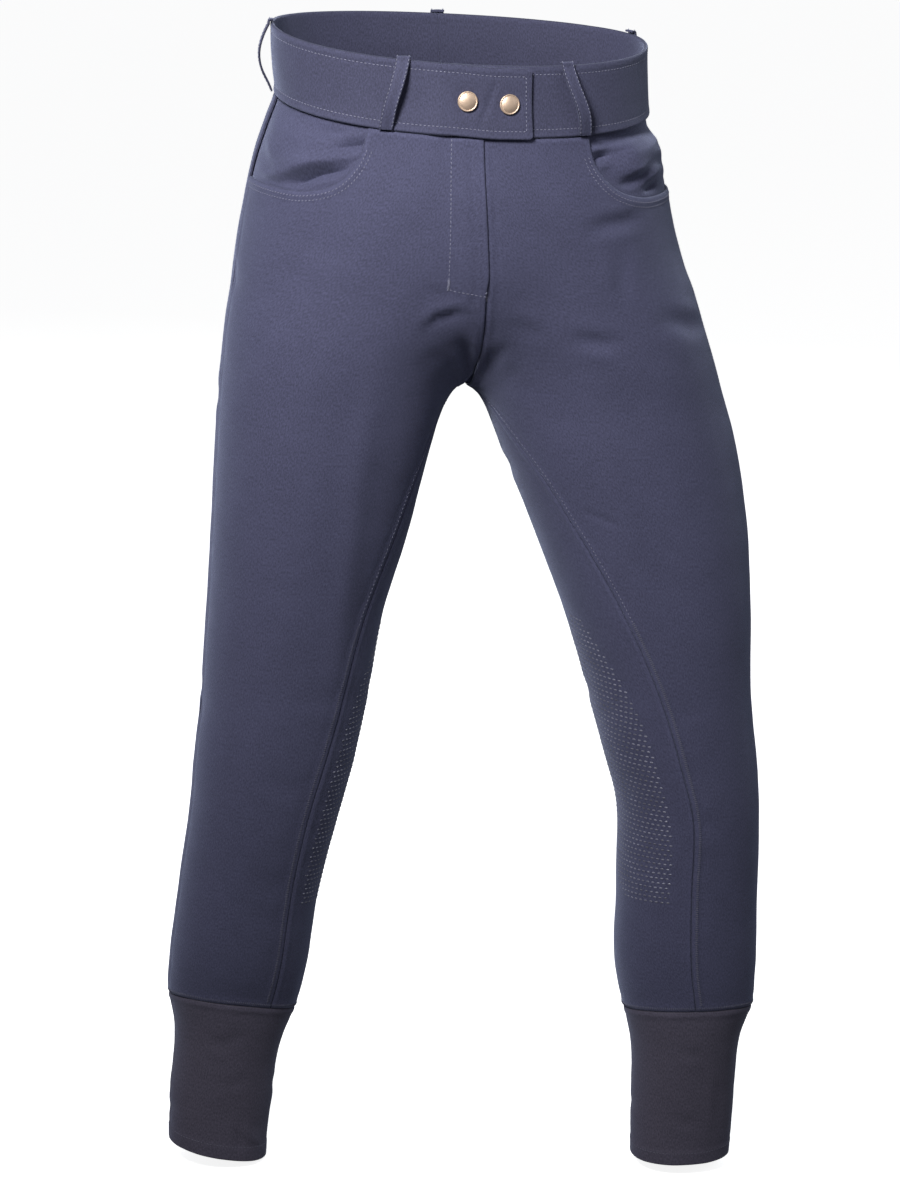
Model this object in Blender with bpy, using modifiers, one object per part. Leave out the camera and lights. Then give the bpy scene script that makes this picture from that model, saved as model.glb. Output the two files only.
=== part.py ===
"""Women's riding breeches, filled out as worn, with no wearer in them.

Metres, +Z up. The wearer faces -Y, and their left is +X. The origin is the centre of the waist opening,
halfway up the waistband. Every cloth piece is a wall cut from one garment surface: a stack of ovals, one
for each leg, that melt into each other above the crotch.
"""

import functools
import math

import bmesh
import bpy
import numpy as np
from mathutils import Vector

MM = 0.001

# ---------------------------------------------------------------- driving sizes, in millimetres
CLOTH = 1.5  # bonded double-knit of the legs and seat
BAND_CLOTH = 3.0  # waistband: two layers and a stiffener
CUFF_CLOTH = 1.2  # thin stretch cloth of the sock cuffs
GAP = 0.3  # between neighbouring pieces

BAND_HALF = 27.0  # half the waistband's height
WAIST_LEAN = 0.045  # the waist plane rises towards the wearer's right
WAIST_DIP = 0.17  # and falls towards the front
BACK_RISE = 0.04  # and rises a little towards the back
HIP_SHIFT = 8.5  # the hips stand this far to the wearer's left of the waist
CUFF_SEAM_Z = -793.0
HEM_Z = -929.0
HIP_ROWS = 9
LEG_ROWS = 13

POCKET_DEPTH = -89.0  # where the pocket mouth meets the side seam
FACING_TOP_Z = -24.0
FACING_END_Z = -118.0
FACING_UNDER = 2.4  # how deep a pocket facing lies under its front panel's face
FLY_END_Z = -164.0
FLY_EDGE = 2.5  # how far the fly's folded edge passes the centre front
TAB_END = 39.5  # waistband tab's end, along the waist from the centre front
UNDERLAP_END = -26.0  # the left waistband's end under the tab
SNAP_ARCS = (-10.5, 21.5)
SNAP_DIAMETER = 15.5
SNAP_RISE = 2.6

LOOP_WIDTH = 11.0
LOOP_CLOTH = 1.6

# One row for each level, top to hem. A leg's section is an oval with its middle at x (outwards from the
# centre plane) and mid_y, half as wide as half, reaching front and back of mid_y. Tilt lowers the inner
# side of a ring and pitch raises its front, both as slopes.
LEVEL_COLUMNS = (
    "z", "right_x", "right_half", "left_x", "left_half", "front", "back", "right_y", "left_y",
    "melt", "right_tilt", "left_tilt", "pitch",
)
LEVELS = (
    (40, 0, 137, 0, 147, 92, 96, 0, 0, 0, 0, 0, 0),
    (0, 1, 137, 1, 147, 94, 98, 0, 0, 0, 0, 0, 0),
    (-27, 4, 140, 4, 146, 97, 103, 0, 0, 4, 0, 0, 0),
    (-50, 10, 143, 10, 145, 100, 109, 0, 0, 10, 0, 0, 0),
    (-80, 21, 143, 19, 146, 103, 116, 0, 0, 22, 0, 0, 0),
    (-110, 35, 137, 29, 140, 103, 122, 0, 0, 34, 0, 0, 0),
    (-140, 51, 128, 43, 131, 101, 126, -1, -1, 44, 0, 0, 0),
    (-170, 69, 116, 62, 121, 97, 127, -3, -3, 51, 0, 0, 0),
    (-200, 88, 104, 82, 109, 92, 122, -6, -6, 55, 0, 0, 0),
    (-230, 102, 94, 100, 100, 87, 112, -8, -8, 55, 0, 0, 0),
    (-260, 109, 90, 111, 98, 84, 102, -8, -8, 53, 0, 0, 0),
    (-290, 114, 87, 121, 97, 83, 94, -7, -9, 48, 0, 0, 0),
    (-360, 124, 80, 142, 90, 78, 84, -4, -13, 40, 0.02, -0.02, 0),
    (-440, 137, 71, 160, 78, 71, 74, 0, -19, 30, 0.05, -0.04, 0),
    (-520, 146, 67, 174, 67, 65, 65, 3, -23, 20, 0.08, -0.04, 0),
    (-560, 152, 65, 182, 64, 62, 62, 5, -25, 20, 0.09, -0.04, 0),
    (-600, 158, 62, 190, 60, 60, 62, 9, -26, 20, 0.1, -0.03, -0.04),
    (-680, 171, 58, 194, 59, 56, 64, 21, -24, 20, 0.11, -0.02, -0.12),
    (-760, 180, 57, 196, 59, 51, 59, 33, -23, 20, 0.14, -0.02, -0.2),
    (-795, 184, 53, 199, 54, 47, 52, 40, -23, 20, 0.17, -0.01, -0.26),
    (-815, 186, 47, 198, 48, 44, 48, 42, -23, 20, 0.17, 0.0, -0.2),
    (-880, 193, 43, 198, 44, 37, 40, 44, -21, 20, 0.18, 0.0, -0.08),
    (-950, 197, 41, 197, 42, 32, 35, 44, -20, 20, 0.24, 0.0, 0.0),
)
OVAL_POWER = 2.15  # 2 is an ellipse; more is squarer

# The seam that runs from the crotch down the front of the inner leg: its angle round each leg's oval.
# -180 is straight inwards and -90 straight forwards.
SEAM_COLUMNS = ("z", "right", "left")
SEAM = (
    (-240, -180, -180),
    (-262, -163, -163),
    (-300, -150, -147),
    (-360, -139, -133),
    (-440, -130, -117),
    (-520, -122, -104),
    (-600, -117, -99),
    (-700, -120, -99),
    (-795, -121, -95),
    (-950, -121, -92),
)

# The pocket mouth on a front panel: how high the panel reaches at each share of the way from the side
# seam (0) to the centre front (1).
POCKET_COLUMNS = ("across", "z")
POCKET = (
    (0.0, POCKET_DEPTH),
    (0.14, -87.0),
    (0.28, -85.5),
    (0.40, -83.5),
    (0.50, -77.0),
    (0.56, -66.0),
    (0.60, -48.0),
    (0.61, -BAND_HALF),
)

# Belt loops: where each stands along the waist from the centre front, how far it stands off the band,
# and how far its top leans towards the centre front.
LOOP_COLUMNS = ("name", "arc", "bulge", "lean")
LOOPS = (
    ("loop_front_right", -65.0, 7.0, 6.0),
    ("loop_front_left", 76.0, 7.4, -7.0),
    ("loop_side_right", -202.0, 8.2, 0.0),
    ("loop_side_left", 224.0, 7.0, 0.0),
    ("loop_back", None, 7.0, 0.0),
)

RIGHT, LEFT = -1, 1
NAVY = (0.075, 0.082, 0.145)
NAVY_BAND = (0.078, 0.085, 0.15)
NAVY_CUFF = (0.055, 0.055, 0.085)
BRASS = (0.62, 0.47, 0.30)


def column(rows, names, name):
    return np.array([row[names.index(name)] for row in rows], float)


def hermite(at, knots, values):
    """A smooth curve through the values, read at the given places."""
    order = np.argsort(knots)
    knots, values = knots[order], values[order]
    slopes = np.gradient(values, knots)
    i = np.clip(np.searchsorted(knots, at) - 1, 0, len(knots) - 2)
    step = knots[i + 1] - knots[i]
    t = np.clip((at - knots[i]) / step, 0, 1)
    return (
        (2 * t**3 - 3 * t**2 + 1) * values[i]
        + (t**3 - 2 * t**2 + t) * step * slopes[i]
        + (3 * t**2 - 2 * t**3) * values[i + 1]
        + (t**3 - t**2) * step * slopes[i + 1]
    )


def level(name, z):
    return hermite(z, column(LEVELS, LEVEL_COLUMNS, "z"), column(LEVELS, LEVEL_COLUMNS, name))


def seam_angle(side, z):
    name = "right" if side == RIGHT else "left"
    return hermite(z, column(SEAM, SEAM_COLUMNS, "z"), column(SEAM, SEAM_COLUMNS, name))


def leg_oval(side, z):
    """(middle x, half width, front, back, middle y) of one leg's section."""
    name = "right" if side == RIGHT else "left"
    return (
        side * level(name + "_x", z),
        level(name + "_half", z),
        level("front", z),
        level("back", z),
        level(name + "_y", z),
    )


def sections_at(z):
    """The right leg's and the left leg's ovals at levels z, and how far the two melt together."""
    return leg_oval(RIGHT, z), leg_oval(LEFT, z), np.maximum(level("melt", z), 0.001)


def leg_field(oval, x, y):
    """Below zero inside one leg, about the distance in millimetres outside it."""
    middle, half, front, back, mid_y = oval
    across = np.abs(x - middle) / half
    along = np.abs(y - mid_y) / np.where(y < mid_y, front, back)
    return ((across**OVAL_POWER + along**OVAL_POWER) ** (1 / OVAL_POWER) - 1) * half


def body_field(sections, x, y):
    """Both legs, melted into each other where they meet."""
    right_oval, left_oval, melt = sections
    right, left = leg_field(right_oval, x, y), leg_field(left_oval, x, y)
    near = np.maximum(melt - np.abs(right - left), 0) / melt
    return np.minimum(right, left) - near**2 * melt / 4


def shift(z):
    """How far the garment's centre plane stands to the wearer's left at each level."""
    return HIP_SHIFT * smoothstep(-z, 27, 240)


def lean(side, sections, x, y, z):
    """How far a point of the level z is raised by the waist's lean and by the tilt of the leg's rings."""
    waist = 1 - smoothstep(-z, 0, 210)
    name = "right" if side == RIGHT else "left"
    middle, _, _, _, mid_y = sections[0 if side == RIGHT else 1]
    tilt = level(name + "_tilt", z) * side * (x - middle) + level("pitch", z) * (y - mid_y)
    ahead = -10 * np.log1p(np.exp(-y / 10))
    fall = WAIST_DIP * ahead + BACK_RISE * (y - ahead)
    return waist * (fall - WAIST_LEAN * x) + tilt


def crossing(low, high, inside):
    """Where inside(value) turns from true to false between low and high, for whole arrays."""
    for _ in range(30):
        middle = (low + high) / 2
        yes = inside(middle)
        low, high = np.where(yes, middle, low), np.where(yes, high, middle)
    return (low + high) / 2


def crotch():
    """(y, z) of the place where the two legs first meet on the centre plane."""
    reach = np.linspace(-60, 60, 1201)

    def apart(z):
        return body_field(sections_at(0 * reach + z[0]), 0 * reach, reach).min(keepdims=True) > 0

    z = float(crossing(np.array([-330.0]), np.array([-150.0]), apart)[0])
    field = body_field(sections_at(0 * reach + z), 0 * reach, reach)
    return float(reach[np.argmin(field)]), z


CROTCH_Y, CROTCH_Z = crotch()


def angle_of(side, z, y):
    """The angle round a leg's oval of a place y on the centre plane."""
    middle, half, front, back, mid_y = leg_oval(side, z)
    depth = np.where(y < mid_y, front, back)
    return np.degrees(np.arctan2((y - mid_y) / depth, -np.abs(middle) / half))


def centre_angle(side, z, way):
    """The angle at which the garment meets the centre plane. way is -1 at the front."""
    start = np.full(np.shape(z), CROTCH_Y)
    sections = sections_at(z)
    y = crossing(start, start + way * 260.0, lambda at: body_field(sections, 0 * z, at) < 0)
    return angle_of(side, z, y)


def front_end(side, z):
    """The angle at which a front panel ends: at the centre front, then at the inner leg seam."""
    start = angle_of(side, np.array([CROTCH_Z]), CROTCH_Y)[0]
    start = start - 360 if start > 0 else start
    below = seam_angle(side, z) - (seam_angle(side, CROTCH_Z) - start) * np.exp((z - CROTCH_Z) / 25.0)
    above = centre_angle(side, np.maximum(z, CROTCH_Z + 0.01), -1)
    above = np.where(above > 0, above - 360, above)
    return np.where(z > CROTCH_Z, above, below)


def back_end(side, z):
    """The angle at which a back panel ends: at the centre back, then at the same inner leg seam."""
    above = centre_angle(side, np.maximum(z, CROTCH_Z + 0.01), 1)
    above = np.where(above < 0, above + 360, above)
    return np.where(z > CROTCH_Z, above, 360 + front_end(side, np.minimum(z, CROTCH_Z)))


def surface(side, z, angle):
    """Points of the garment at levels z and at angles round one leg, 0 being the side seam."""
    sections = sections_at(z)
    middle, half, front, back, mid_y = sections[0 if side == RIGHT else 1]
    turn = np.radians(angle)
    dx = side * np.cos(turn) * half
    dy = np.sin(turn) * np.where(np.sin(turn) > 0, back, front)
    reach = (np.abs(np.cos(turn)) ** OVAL_POWER + np.abs(np.sin(turn)) ** OVAL_POWER) ** (-1 / OVAL_POWER)
    inwards = dx * side < -1e-6
    to_centre = np.where(inwards, np.abs(middle) / np.where(inwards, np.abs(dx), 1.0), np.inf)
    far = np.minimum(1.9 * reach, to_centre)
    share = crossing(0.9 * reach, far, lambda t: body_field(sections, middle + t * dx, mid_y + t * dy) < 0)
    x, y = middle + share * dx, mid_y + share * dy
    return np.stack([x + shift(z), y, z + lean(side, sections, x, y, z)], -1)


def outward(side, z, points):
    """Unit normals of the garment surface at points that lie on levels z."""
    x, y = points[..., 0] - shift(z), points[..., 1]
    step = 0.5
    here, above, below = sections_at(z), sections_at(z + step), sections_at(z - step)
    normal = np.stack(
        [
            body_field(here, x + step, y) - body_field(here, x - step, y),
            body_field(here, x, y + step) - body_field(here, x, y - step),
            body_field(above, x, y) - body_field(below, x, y),
        ],
        -1,
    )
    return normal / np.linalg.norm(normal, axis=-1, keepdims=True)


def smoothstep(value, low, high):
    t = np.clip((value - low) / (high - low), 0, 1)
    return t * t * (3 - 2 * t)


# ---------------------------------------------------------------- walls


def inset_edges(points, amount, edges):
    """Moves the named edges of a grid of points into the grid, to leave a gap at a seam."""
    moved = points.copy()
    inner = {
        "top": (np.s_[0, :], np.s_[1, :]),
        "bottom": (np.s_[-1, :], np.s_[-2, :]),
        "start": (np.s_[:, 0], np.s_[:, 1]),
        "end": (np.s_[:, -1], np.s_[:, -2]),
    }
    for edge in edges:
        rim, near = inner[edge]
        way = points[near] - points[rim]
        moved[rim] += way / np.linalg.norm(way, axis=-1, keepdims=True) * amount
    return moved


def new_object(name, vertices, faces, colour, roughness, metallic=0.0):
    mesh = bpy.data.meshes.new(name)
    mesh.from_pydata([tuple(v) for v in np.asarray(vertices) * MM], [], faces)
    shaped = bmesh.new()
    shaped.from_mesh(mesh)
    bmesh.ops.recalc_face_normals(shaped, faces=shaped.faces)
    shaped.to_mesh(mesh)
    shaped.free()
    mesh.shade_smooth()
    mesh.set_sharp_from_angle(angle=math.radians(50))
    material = bpy.data.materials.new(name)
    material.use_nodes = True
    shader = material.node_tree.nodes["Principled BSDF"]
    shader.inputs["Base Color"].default_value = (*colour, 1)
    shader.inputs["Roughness"].default_value = roughness
    shader.inputs["Metallic"].default_value = metallic
    mesh.materials.append(material)
    made = bpy.data.objects.new(name, mesh)
    PARTS.objects.link(made)
    return made


def wall(name, points, normals, outer, inner, colour, roughness=0.85, tube=False):
    """A closed wall over a grid of points, from inner to outer along the normals. A tube's columns close."""
    rows, columns = points.shape[:2]
    outer = np.broadcast_to(outer, (rows, columns))[..., None]
    inner = np.broadcast_to(inner, (rows, columns))[..., None]
    vertices = np.concatenate(
        [(points + normals * outer).reshape(-1, 3), (points + normals * inner).reshape(-1, 3)]
    )
    index = np.arange(rows * columns).reshape(rows, columns)
    if tube:
        index = np.concatenate([index, index[:, :1]], 1)
    under = index + rows * columns
    faces = []
    for i in range(index.shape[0] - 1):
        for j in range(index.shape[1] - 1):
            a, b, c, d = index[i, j], index[i, j + 1], index[i + 1, j + 1], index[i + 1, j]
            faces.append((a, b, c, d))
            faces.append((under[i, j], under[i + 1, j], under[i + 1, j + 1], under[i, j + 1]))
    rims = [index[0, :], index[-1, ::-1]]
    if not tube:
        rims += [index[::-1, 0], index[:, -1]]
    for rim in rims:
        for a, b in zip(rim[:-1], rim[1:]):
            faces.append((b, a, a + rows * columns, b + rows * columns))
    faces = [tuple(int(v) for v in face) for face in faces]
    return new_object(name, vertices, faces, colour, roughness)


# ---------------------------------------------------------------- leg panels


def row_heights(across, end_lift):
    """Levels of a panel's rows at each share of the way across, from the band to the cuff seam.

    At the far side of the panel the rows crowd together at the crotch, where its edge turns under.
    """
    t = np.linspace(1, 0, HIP_ROWS + 1)[:, None]
    hip = -BAND_HALF - CROTCH_Z
    end = CROTCH_Z + hip * (end_lift * t + (1 - end_lift) * t**2)
    side = CROTCH_Z + 14 + (hip - 14) * t
    down = np.linspace(0, 1, LEG_ROWS + 1)[1:, None]
    leg = CUFF_SEAM_Z - CROTCH_Z
    end = np.concatenate([end, CROTCH_Z + leg * (0.75 * down + 0.25 * down**2)])
    side = np.concatenate([side, CROTCH_Z + 14 + (leg - 14) * down])
    return end + (side - end) * (1 - across[None, :]) ** 2


def pocket_mouth(across):
    knots = column(POCKET, POCKET_COLUMNS, "across")
    return np.interp(across, knots, column(POCKET, POCKET_COLUMNS, "z"))


FRONT_COLUMNS = np.array([0, 0.1, 0.2, 0.3, 0.4, 0.47, 0.53, 0.57, 0.6, 0.61, 0.67, 0.77, 0.88, 0.95, 1.0])
POCKET_ROWS = 7


def front_grid(side):
    """(points, normals, levels) of a front panel, before the fly's edge is set over."""
    across = FRONT_COLUMNS
    z = row_heights(across, 0.3)
    top = pocket_mouth(across)
    share = np.linspace(0, 1, POCKET_ROWS + 1)[:, None]
    z[: POCKET_ROWS + 1] = top + (z[POCKET_ROWS] - top) * share
    points = surface(side, z, across[None, :] * front_end(side, z))
    normals = outward(side, z, points)
    return inset_edges(points, GAP / 2, ("top", "bottom", "start", "end")), normals, z


def front_panel(name, side):
    points, normals, z = front_grid(side)
    lift = np.zeros(z.shape)
    if side == RIGHT:
        near = smoothstep(points[..., 0] - shift(z), -30, -9)
        lift = smoothstep(z, FLY_END_Z - 50, FLY_END_Z - 20) * near * (CLOTH + GAP)
        points[:, -1, 0] += smoothstep(z[:, -1], FLY_END_Z, FLY_END_Z + 22) * (FLY_EDGE + GAP / 2)
    return wall(name, points, normals, lift, lift - CLOTH, NAVY)


BACK_COLUMNS = np.linspace(0, 1, 15)


def back_panel(name, side):
    z = row_heights(BACK_COLUMNS, 0.3)
    points = surface(side, z, BACK_COLUMNS[None, :] * back_end(side, z))
    normals = outward(side, z, points)
    points = inset_edges(points, GAP / 2, ("top", "bottom", "start", "end"))
    return wall(name, points, normals, 0, -CLOTH, NAVY)


def pocket_facing(name, side, bulge):
    """The cloth that shows in a pocket's mouth, sewn to the side seam and band and slack between them."""
    across = np.linspace(0, 0.68, 11)
    down = np.linspace(0, 1, 10)[:, None]
    z = FACING_TOP_Z + (FACING_END_Z - FACING_TOP_Z) * down + 0 * across[None, :]
    points = surface(side, z, across[None, :] * front_end(side, z))
    normals = outward(side, z, points)
    points = inset_edges(points, GAP / 2, ("start",))
    slack = smoothstep(z - pocket_mouth(across), 9, 26) * (1 - smoothstep(z, -BAND_HALF - 20, -BAND_HALF - 6))
    slack = slack * smoothstep(across, 0.02, 0.2) * (1 - smoothstep(across, 0.4, 0.56))
    lift = -FACING_UNDER + (FACING_UNDER + bulge) * slack
    return wall(name, points, normals, lift, lift - CLOTH, NAVY)


def cuff(name, side):
    turns = np.linspace(0, 360, 22, endpoint=False)
    z = np.array([CUFF_SEAM_Z, CUFF_SEAM_Z - 8, CUFF_SEAM_Z - 24, -850, -890, HEM_Z])[:, None] + 0 * turns
    points = surface(side, z, turns[None, :] + 0 * z)
    normals = outward(side, z, points)
    points = inset_edges(points, GAP, ("top",))
    return wall(name, points, normals, 0, -CUFF_CLOTH, NAVY_CUFF, tube=True)


# ---------------------------------------------------------------- waist


@functools.lru_cache
def waist_ring(z):
    """(places along the waist from the centre front, points, normals) once round, wearer's left first."""
    rounds = []
    for side in (LEFT, RIGHT):
        level_z = np.full(181, float(z))
        start, end = front_end(side, level_z)[0], back_end(side, level_z)[0]
        angles = np.linspace(start, end, 181)
        points = surface(side, level_z, angles)
        rounds.append((points, outward(side, level_z, points)))
    left, right = rounds
    points = np.concatenate([left[0], right[0][::-1][1:]])
    normals = np.concatenate([left[1], right[1][::-1][1:]])
    steps = np.linalg.norm(np.diff(points, axis=0), axis=1)
    return np.concatenate([[0], np.cumsum(steps)]), points, normals


def waist_grid(levels, arcs):
    """Points and normals at each level and at each place along the waist. A place may be negative.

    Places are shares of the band's own middle line, so that columns stand upright on it.
    """
    whole = waist_ring(0.0)[0][-1]
    points, normals = [], []
    for z, row in zip(levels, np.broadcast_to(arcs, (len(levels), np.shape(arcs)[-1]))):
        along, ring, ring_normals = waist_ring(z)
        at = np.mod(row, whole) * along[-1] / whole
        points.append(np.stack([np.interp(at, along, ring[:, k]) for k in range(3)], -1))
        normals.append(np.stack([np.interp(at, along, ring_normals[:, k]) for k in range(3)], -1))
    normals = np.array(normals)
    return np.array(points), normals / np.linalg.norm(normals, axis=-1, keepdims=True)


WAIST_LENGTH = float(waist_ring(0.0)[0][-1])


def centre_back_arc():
    along, ring, _ = waist_ring(0.0)
    behind = np.where(ring[:, 1] > 0)[0]
    return float(np.interp(0, -ring[behind, 0], along[behind]))


CENTRE_BACK = centre_back_arc()
BAND_LEVELS = np.array([BAND_HALF, BAND_HALF / 3, -BAND_HALF / 3, -BAND_HALF])
BAND_OUTER = BAND_CLOTH / 2
OVERLAP = BAND_CLOTH + GAP


def waistband_right():
    """From the centre back round the wearer's right to the tab, which lies over the left waistband."""
    back = CENTRE_BACK - WAIST_LENGTH
    arcs = np.concatenate([np.linspace(back, -60, 22), np.linspace(-48, TAB_END, 9)])
    points, normals = waist_grid(BAND_LEVELS, arcs)
    points = inset_edges(points, GAP / 2, ("start", "bottom"))
    lift = smoothstep(arcs, -46, UNDERLAP_END - 3) * OVERLAP
    return wall("waistband_right", points, normals, lift + BAND_OUTER, lift - BAND_OUTER, NAVY_BAND)


def waistband_left():
    """From its end under the tab round the wearer's left to the centre back."""
    arcs = np.concatenate([np.linspace(UNDERLAP_END, 60, 9), np.linspace(72, CENTRE_BACK, 22)])
    points, normals = waist_grid(BAND_LEVELS, arcs)
    points = inset_edges(points, GAP / 2, ("end", "bottom"))
    return wall("waistband_left", points, normals, BAND_OUTER, -BAND_OUTER, NAVY_BAND)


def mitres(profile):
    """For each corner of an open line of (out, up) points, the offset that thickens it evenly by one."""
    steps = np.diff(profile, axis=0)
    steps /= np.linalg.norm(steps, axis=1, keepdims=True)
    steps = np.concatenate([steps[:1], steps, steps[-1:]])
    faces = np.stack([steps[:, 1], -steps[:, 0]], 1)
    half = faces[:-1] + faces[1:]
    half /= np.linalg.norm(half, axis=1, keepdims=True)
    return half / (half * faces[1:]).sum(1, keepdims=True)


def belt_loop(name, arc, bulge, top_lean):
    """A strip from the band's lower seam, standing off the band, folded over its top edge."""
    arc = CENTRE_BACK if arc is None else arc
    seat = BAND_OUTER + GAP + LOOP_CLOTH
    top = BAND_HALF + GAP + LOOP_CLOTH + 0.7
    rise = np.linspace(0, 1, 9)
    stand = seat + bulge * np.sin(math.pi * rise) ** 0.8
    profile = np.stack([stand, -BAND_HALF + (2 * BAND_HALF - 1) * rise], 1)
    profile = np.concatenate([profile, [(seat, top - 1.7), (seat - 1.7, top), (-0.6, top)]])
    thicken = mitres(profile)
    height = profile[:, 1]
    inside = np.clip(height, -BAND_HALF, BAND_HALF)
    middle, outwards = waist_grid(inside, (arc + top_lean * inside / BAND_HALF)[:, None])
    outwards = np.broadcast_to(outwards.mean(0), outwards.shape)
    up = np.array([0.0, 0.0, 1.0])
    centre = middle + up * (height - inside)[:, None, None] + outwards * profile[:, :1, None]
    along = np.cross(up, outwards.mean(0))
    along /= np.linalg.norm(along)
    points = centre + along * np.linspace(-0.5, 0.5, 3)[None, :, None] * LOOP_WIDTH
    away = outwards * thicken[:, :1, None] + up * thicken[:, 1:, None]
    away = np.broadcast_to(away, points.shape)
    return wall(name, points, away, 0, -LOOP_CLOTH, NAVY_BAND)


def snap_cap(name, arc):
    """A domed press-stud cap with a rolled rim, turned about its own axis."""
    points, normals = waist_grid([0.0], np.array([arc]))
    centre, axis = points[0, 0], normals[0, 0]
    foot = BAND_OUTER + OVERLAP + GAP
    radius = SNAP_DIAMETER / 2
    profile = [(0, SNAP_RISE)]
    for turn in np.linspace(70, 0, 5):
        profile.append(
            (radius * 0.86 * math.cos(math.radians(turn)), 1.6 + (SNAP_RISE - 1.6) * math.sin(math.radians(turn)))
        )
    profile += [(radius * 0.9, 1.35), (radius * 0.96, 1.5), (radius, 1.0), (radius * 0.96, 0), (0, 0)]
    mesh = bpy.data.meshes.new(name)
    mesh.from_pydata([(x * MM, 0, z * MM) for x, z in profile], [(i, i + 1) for i in range(len(profile) - 1)], [])
    made = bpy.data.objects.new(name, mesh)
    PARTS.objects.link(made)
    screw = made.modifiers.new("turned", "SCREW")
    screw.axis = "Z"
    screw.steps = screw.render_steps = 18
    screw.use_merge_vertices = True
    screw.merge_threshold = 0.00001
    material = bpy.data.materials.new(name)
    material.use_nodes = True
    shader = material.node_tree.nodes["Principled BSDF"]
    shader.inputs["Base Color"].default_value = (*BRASS, 1)
    shader.inputs["Roughness"].default_value = 0.3
    shader.inputs["Metallic"].default_value = 1.0
    mesh.materials.append(material)
    made.rotation_mode = "QUATERNION"
    made.rotation_quaternion = Vector(axis).to_track_quat("Z", "Y")
    made.location = Vector((centre + axis * foot) * MM)
    return made


def fly_zip():
    """The closed zip's tape under the fly, cut from the fronts' own points."""
    points, normals, heights = front_grid(RIGHT)
    left_points, left_normals, _ = front_grid(LEFT)
    rows = int((heights[:, -1] > FLY_END_Z).sum()) + 1
    centre = (points[:rows, -1:] + left_points[:rows, -1:]) / 2
    strip = np.concatenate([points[:rows, -3:-1], centre, left_points[:rows, -2:-1]], 1)
    upright = np.concatenate([normals[:rows, -3:], left_normals[:rows, -2:-1]], 1)
    strip = inset_edges(strip, 2.0, ("top",))
    top = -CLOTH - GAP - 0.2
    return wall("fly_zip", strip, upright, top, top - 1.2, NAVY_BAND)


def clear_scene():
    for thing in list(bpy.data.objects):
        bpy.data.objects.remove(thing)


clear_scene()
PARTS = bpy.data.collections.new("riding_breeches")
bpy.context.scene.collection.children.link(PARTS)

front_panel("front_right", RIGHT)
front_panel("front_left", LEFT)
back_panel("back_right", RIGHT)
back_panel("back_left", LEFT)
pocket_facing("pocket_facing_right", RIGHT, 2.0)
pocket_facing("pocket_facing_left", LEFT, 5.0)
cuff("cuff_right", RIGHT)
cuff("cuff_left", LEFT)
waistband_right()
waistband_left()
for loop in LOOPS:
    belt_loop(*loop)
for number, place in enumerate(SNAP_ARCS, 1):
    snap_cap(f"snap_{number}", place)
fly_zip()
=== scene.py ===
"""Women's riding breeches: the looks of every cloth piece, stitch, grip dash and stud, on the fixed solids.

Lengths are in millimetres while a piece is made and in metres once it is a mesh. The wearer faces -Y, and
their left is +X. The origin is the centre of the waist opening, halfway up the waistband.
"""

import functools
import math

import bmesh
import bpy
import numpy as np
from mathutils import Matrix, Vector
from mathutils.bvhtree import BVHTree


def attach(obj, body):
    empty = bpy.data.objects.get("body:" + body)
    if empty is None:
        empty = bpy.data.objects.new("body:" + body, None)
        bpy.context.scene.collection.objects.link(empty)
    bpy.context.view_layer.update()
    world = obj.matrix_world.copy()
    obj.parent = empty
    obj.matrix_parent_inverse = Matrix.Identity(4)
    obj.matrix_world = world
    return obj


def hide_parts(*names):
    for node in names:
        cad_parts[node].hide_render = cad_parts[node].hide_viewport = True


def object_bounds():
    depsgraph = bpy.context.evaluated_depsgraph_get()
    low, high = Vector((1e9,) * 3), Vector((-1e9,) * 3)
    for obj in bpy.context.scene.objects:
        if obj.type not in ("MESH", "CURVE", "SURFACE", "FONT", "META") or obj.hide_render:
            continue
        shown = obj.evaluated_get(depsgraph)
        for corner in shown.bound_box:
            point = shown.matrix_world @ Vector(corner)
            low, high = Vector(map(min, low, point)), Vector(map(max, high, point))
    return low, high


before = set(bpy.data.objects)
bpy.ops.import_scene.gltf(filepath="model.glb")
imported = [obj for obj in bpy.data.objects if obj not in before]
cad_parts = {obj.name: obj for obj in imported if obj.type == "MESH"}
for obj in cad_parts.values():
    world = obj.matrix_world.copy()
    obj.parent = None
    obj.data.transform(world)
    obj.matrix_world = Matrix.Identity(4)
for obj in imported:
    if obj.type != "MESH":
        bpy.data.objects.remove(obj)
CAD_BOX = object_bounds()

bl_info = {
    "name": "Riding breeches",
    "version": (1, 0, 0),
    "blender": (4, 5, 0),
    "location": "3D View > Sidebar > Breeches",
    "description": "Sews the cloth, stitches, grip and studs of a pair of riding breeches",
    "category": "Add Mesh",
}

MM = 0.001
RIGHT, LEFT = -1, 1
SIDE_NAMES = {RIGHT: "right", LEFT: "left"}

# ---------------------------------------------------------------- the garment's form, in millimetres
CLOTH = 1.5
BAND_CLOTH = 3.0
CUFF_CLOTH = 1.2
LOOP_CLOTH = 1.6
GAP = 0.3  # between neighbouring pieces
BAND_HALF = 27.0  # half the waistband's height
WAIST_LEAN = 0.045  # how the waist slopes down to the wearer's left
WAIST_DIP = 0.17  # how it slopes down to the front
BACK_RISE = 0.04
LEAN_END = 210.0  # how far below the waist these slopes have faded out
HIP_SHIFT = 8.5  # how far the hips stand to the wearer's left of the waist
HIP_SHIFT_END = 240.0
CUFF_SEAM_Z = -793.0
HEM_Z = -929.0
HEM_TURNED = 12.4  # how much of a cuff is turned up inside its hem
HEM_ROW = 11.6  # from the hem up to its stitches
POCKET_DEPTH = -89.0
POCKET_ROWS = (4.0, 7.6)  # from the pocket mouth down to its two rows of stitches
FACING_TOP_Z = -24.0
FACING_END_Z = -118.0
FACING_UNDER = 2.4
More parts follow.
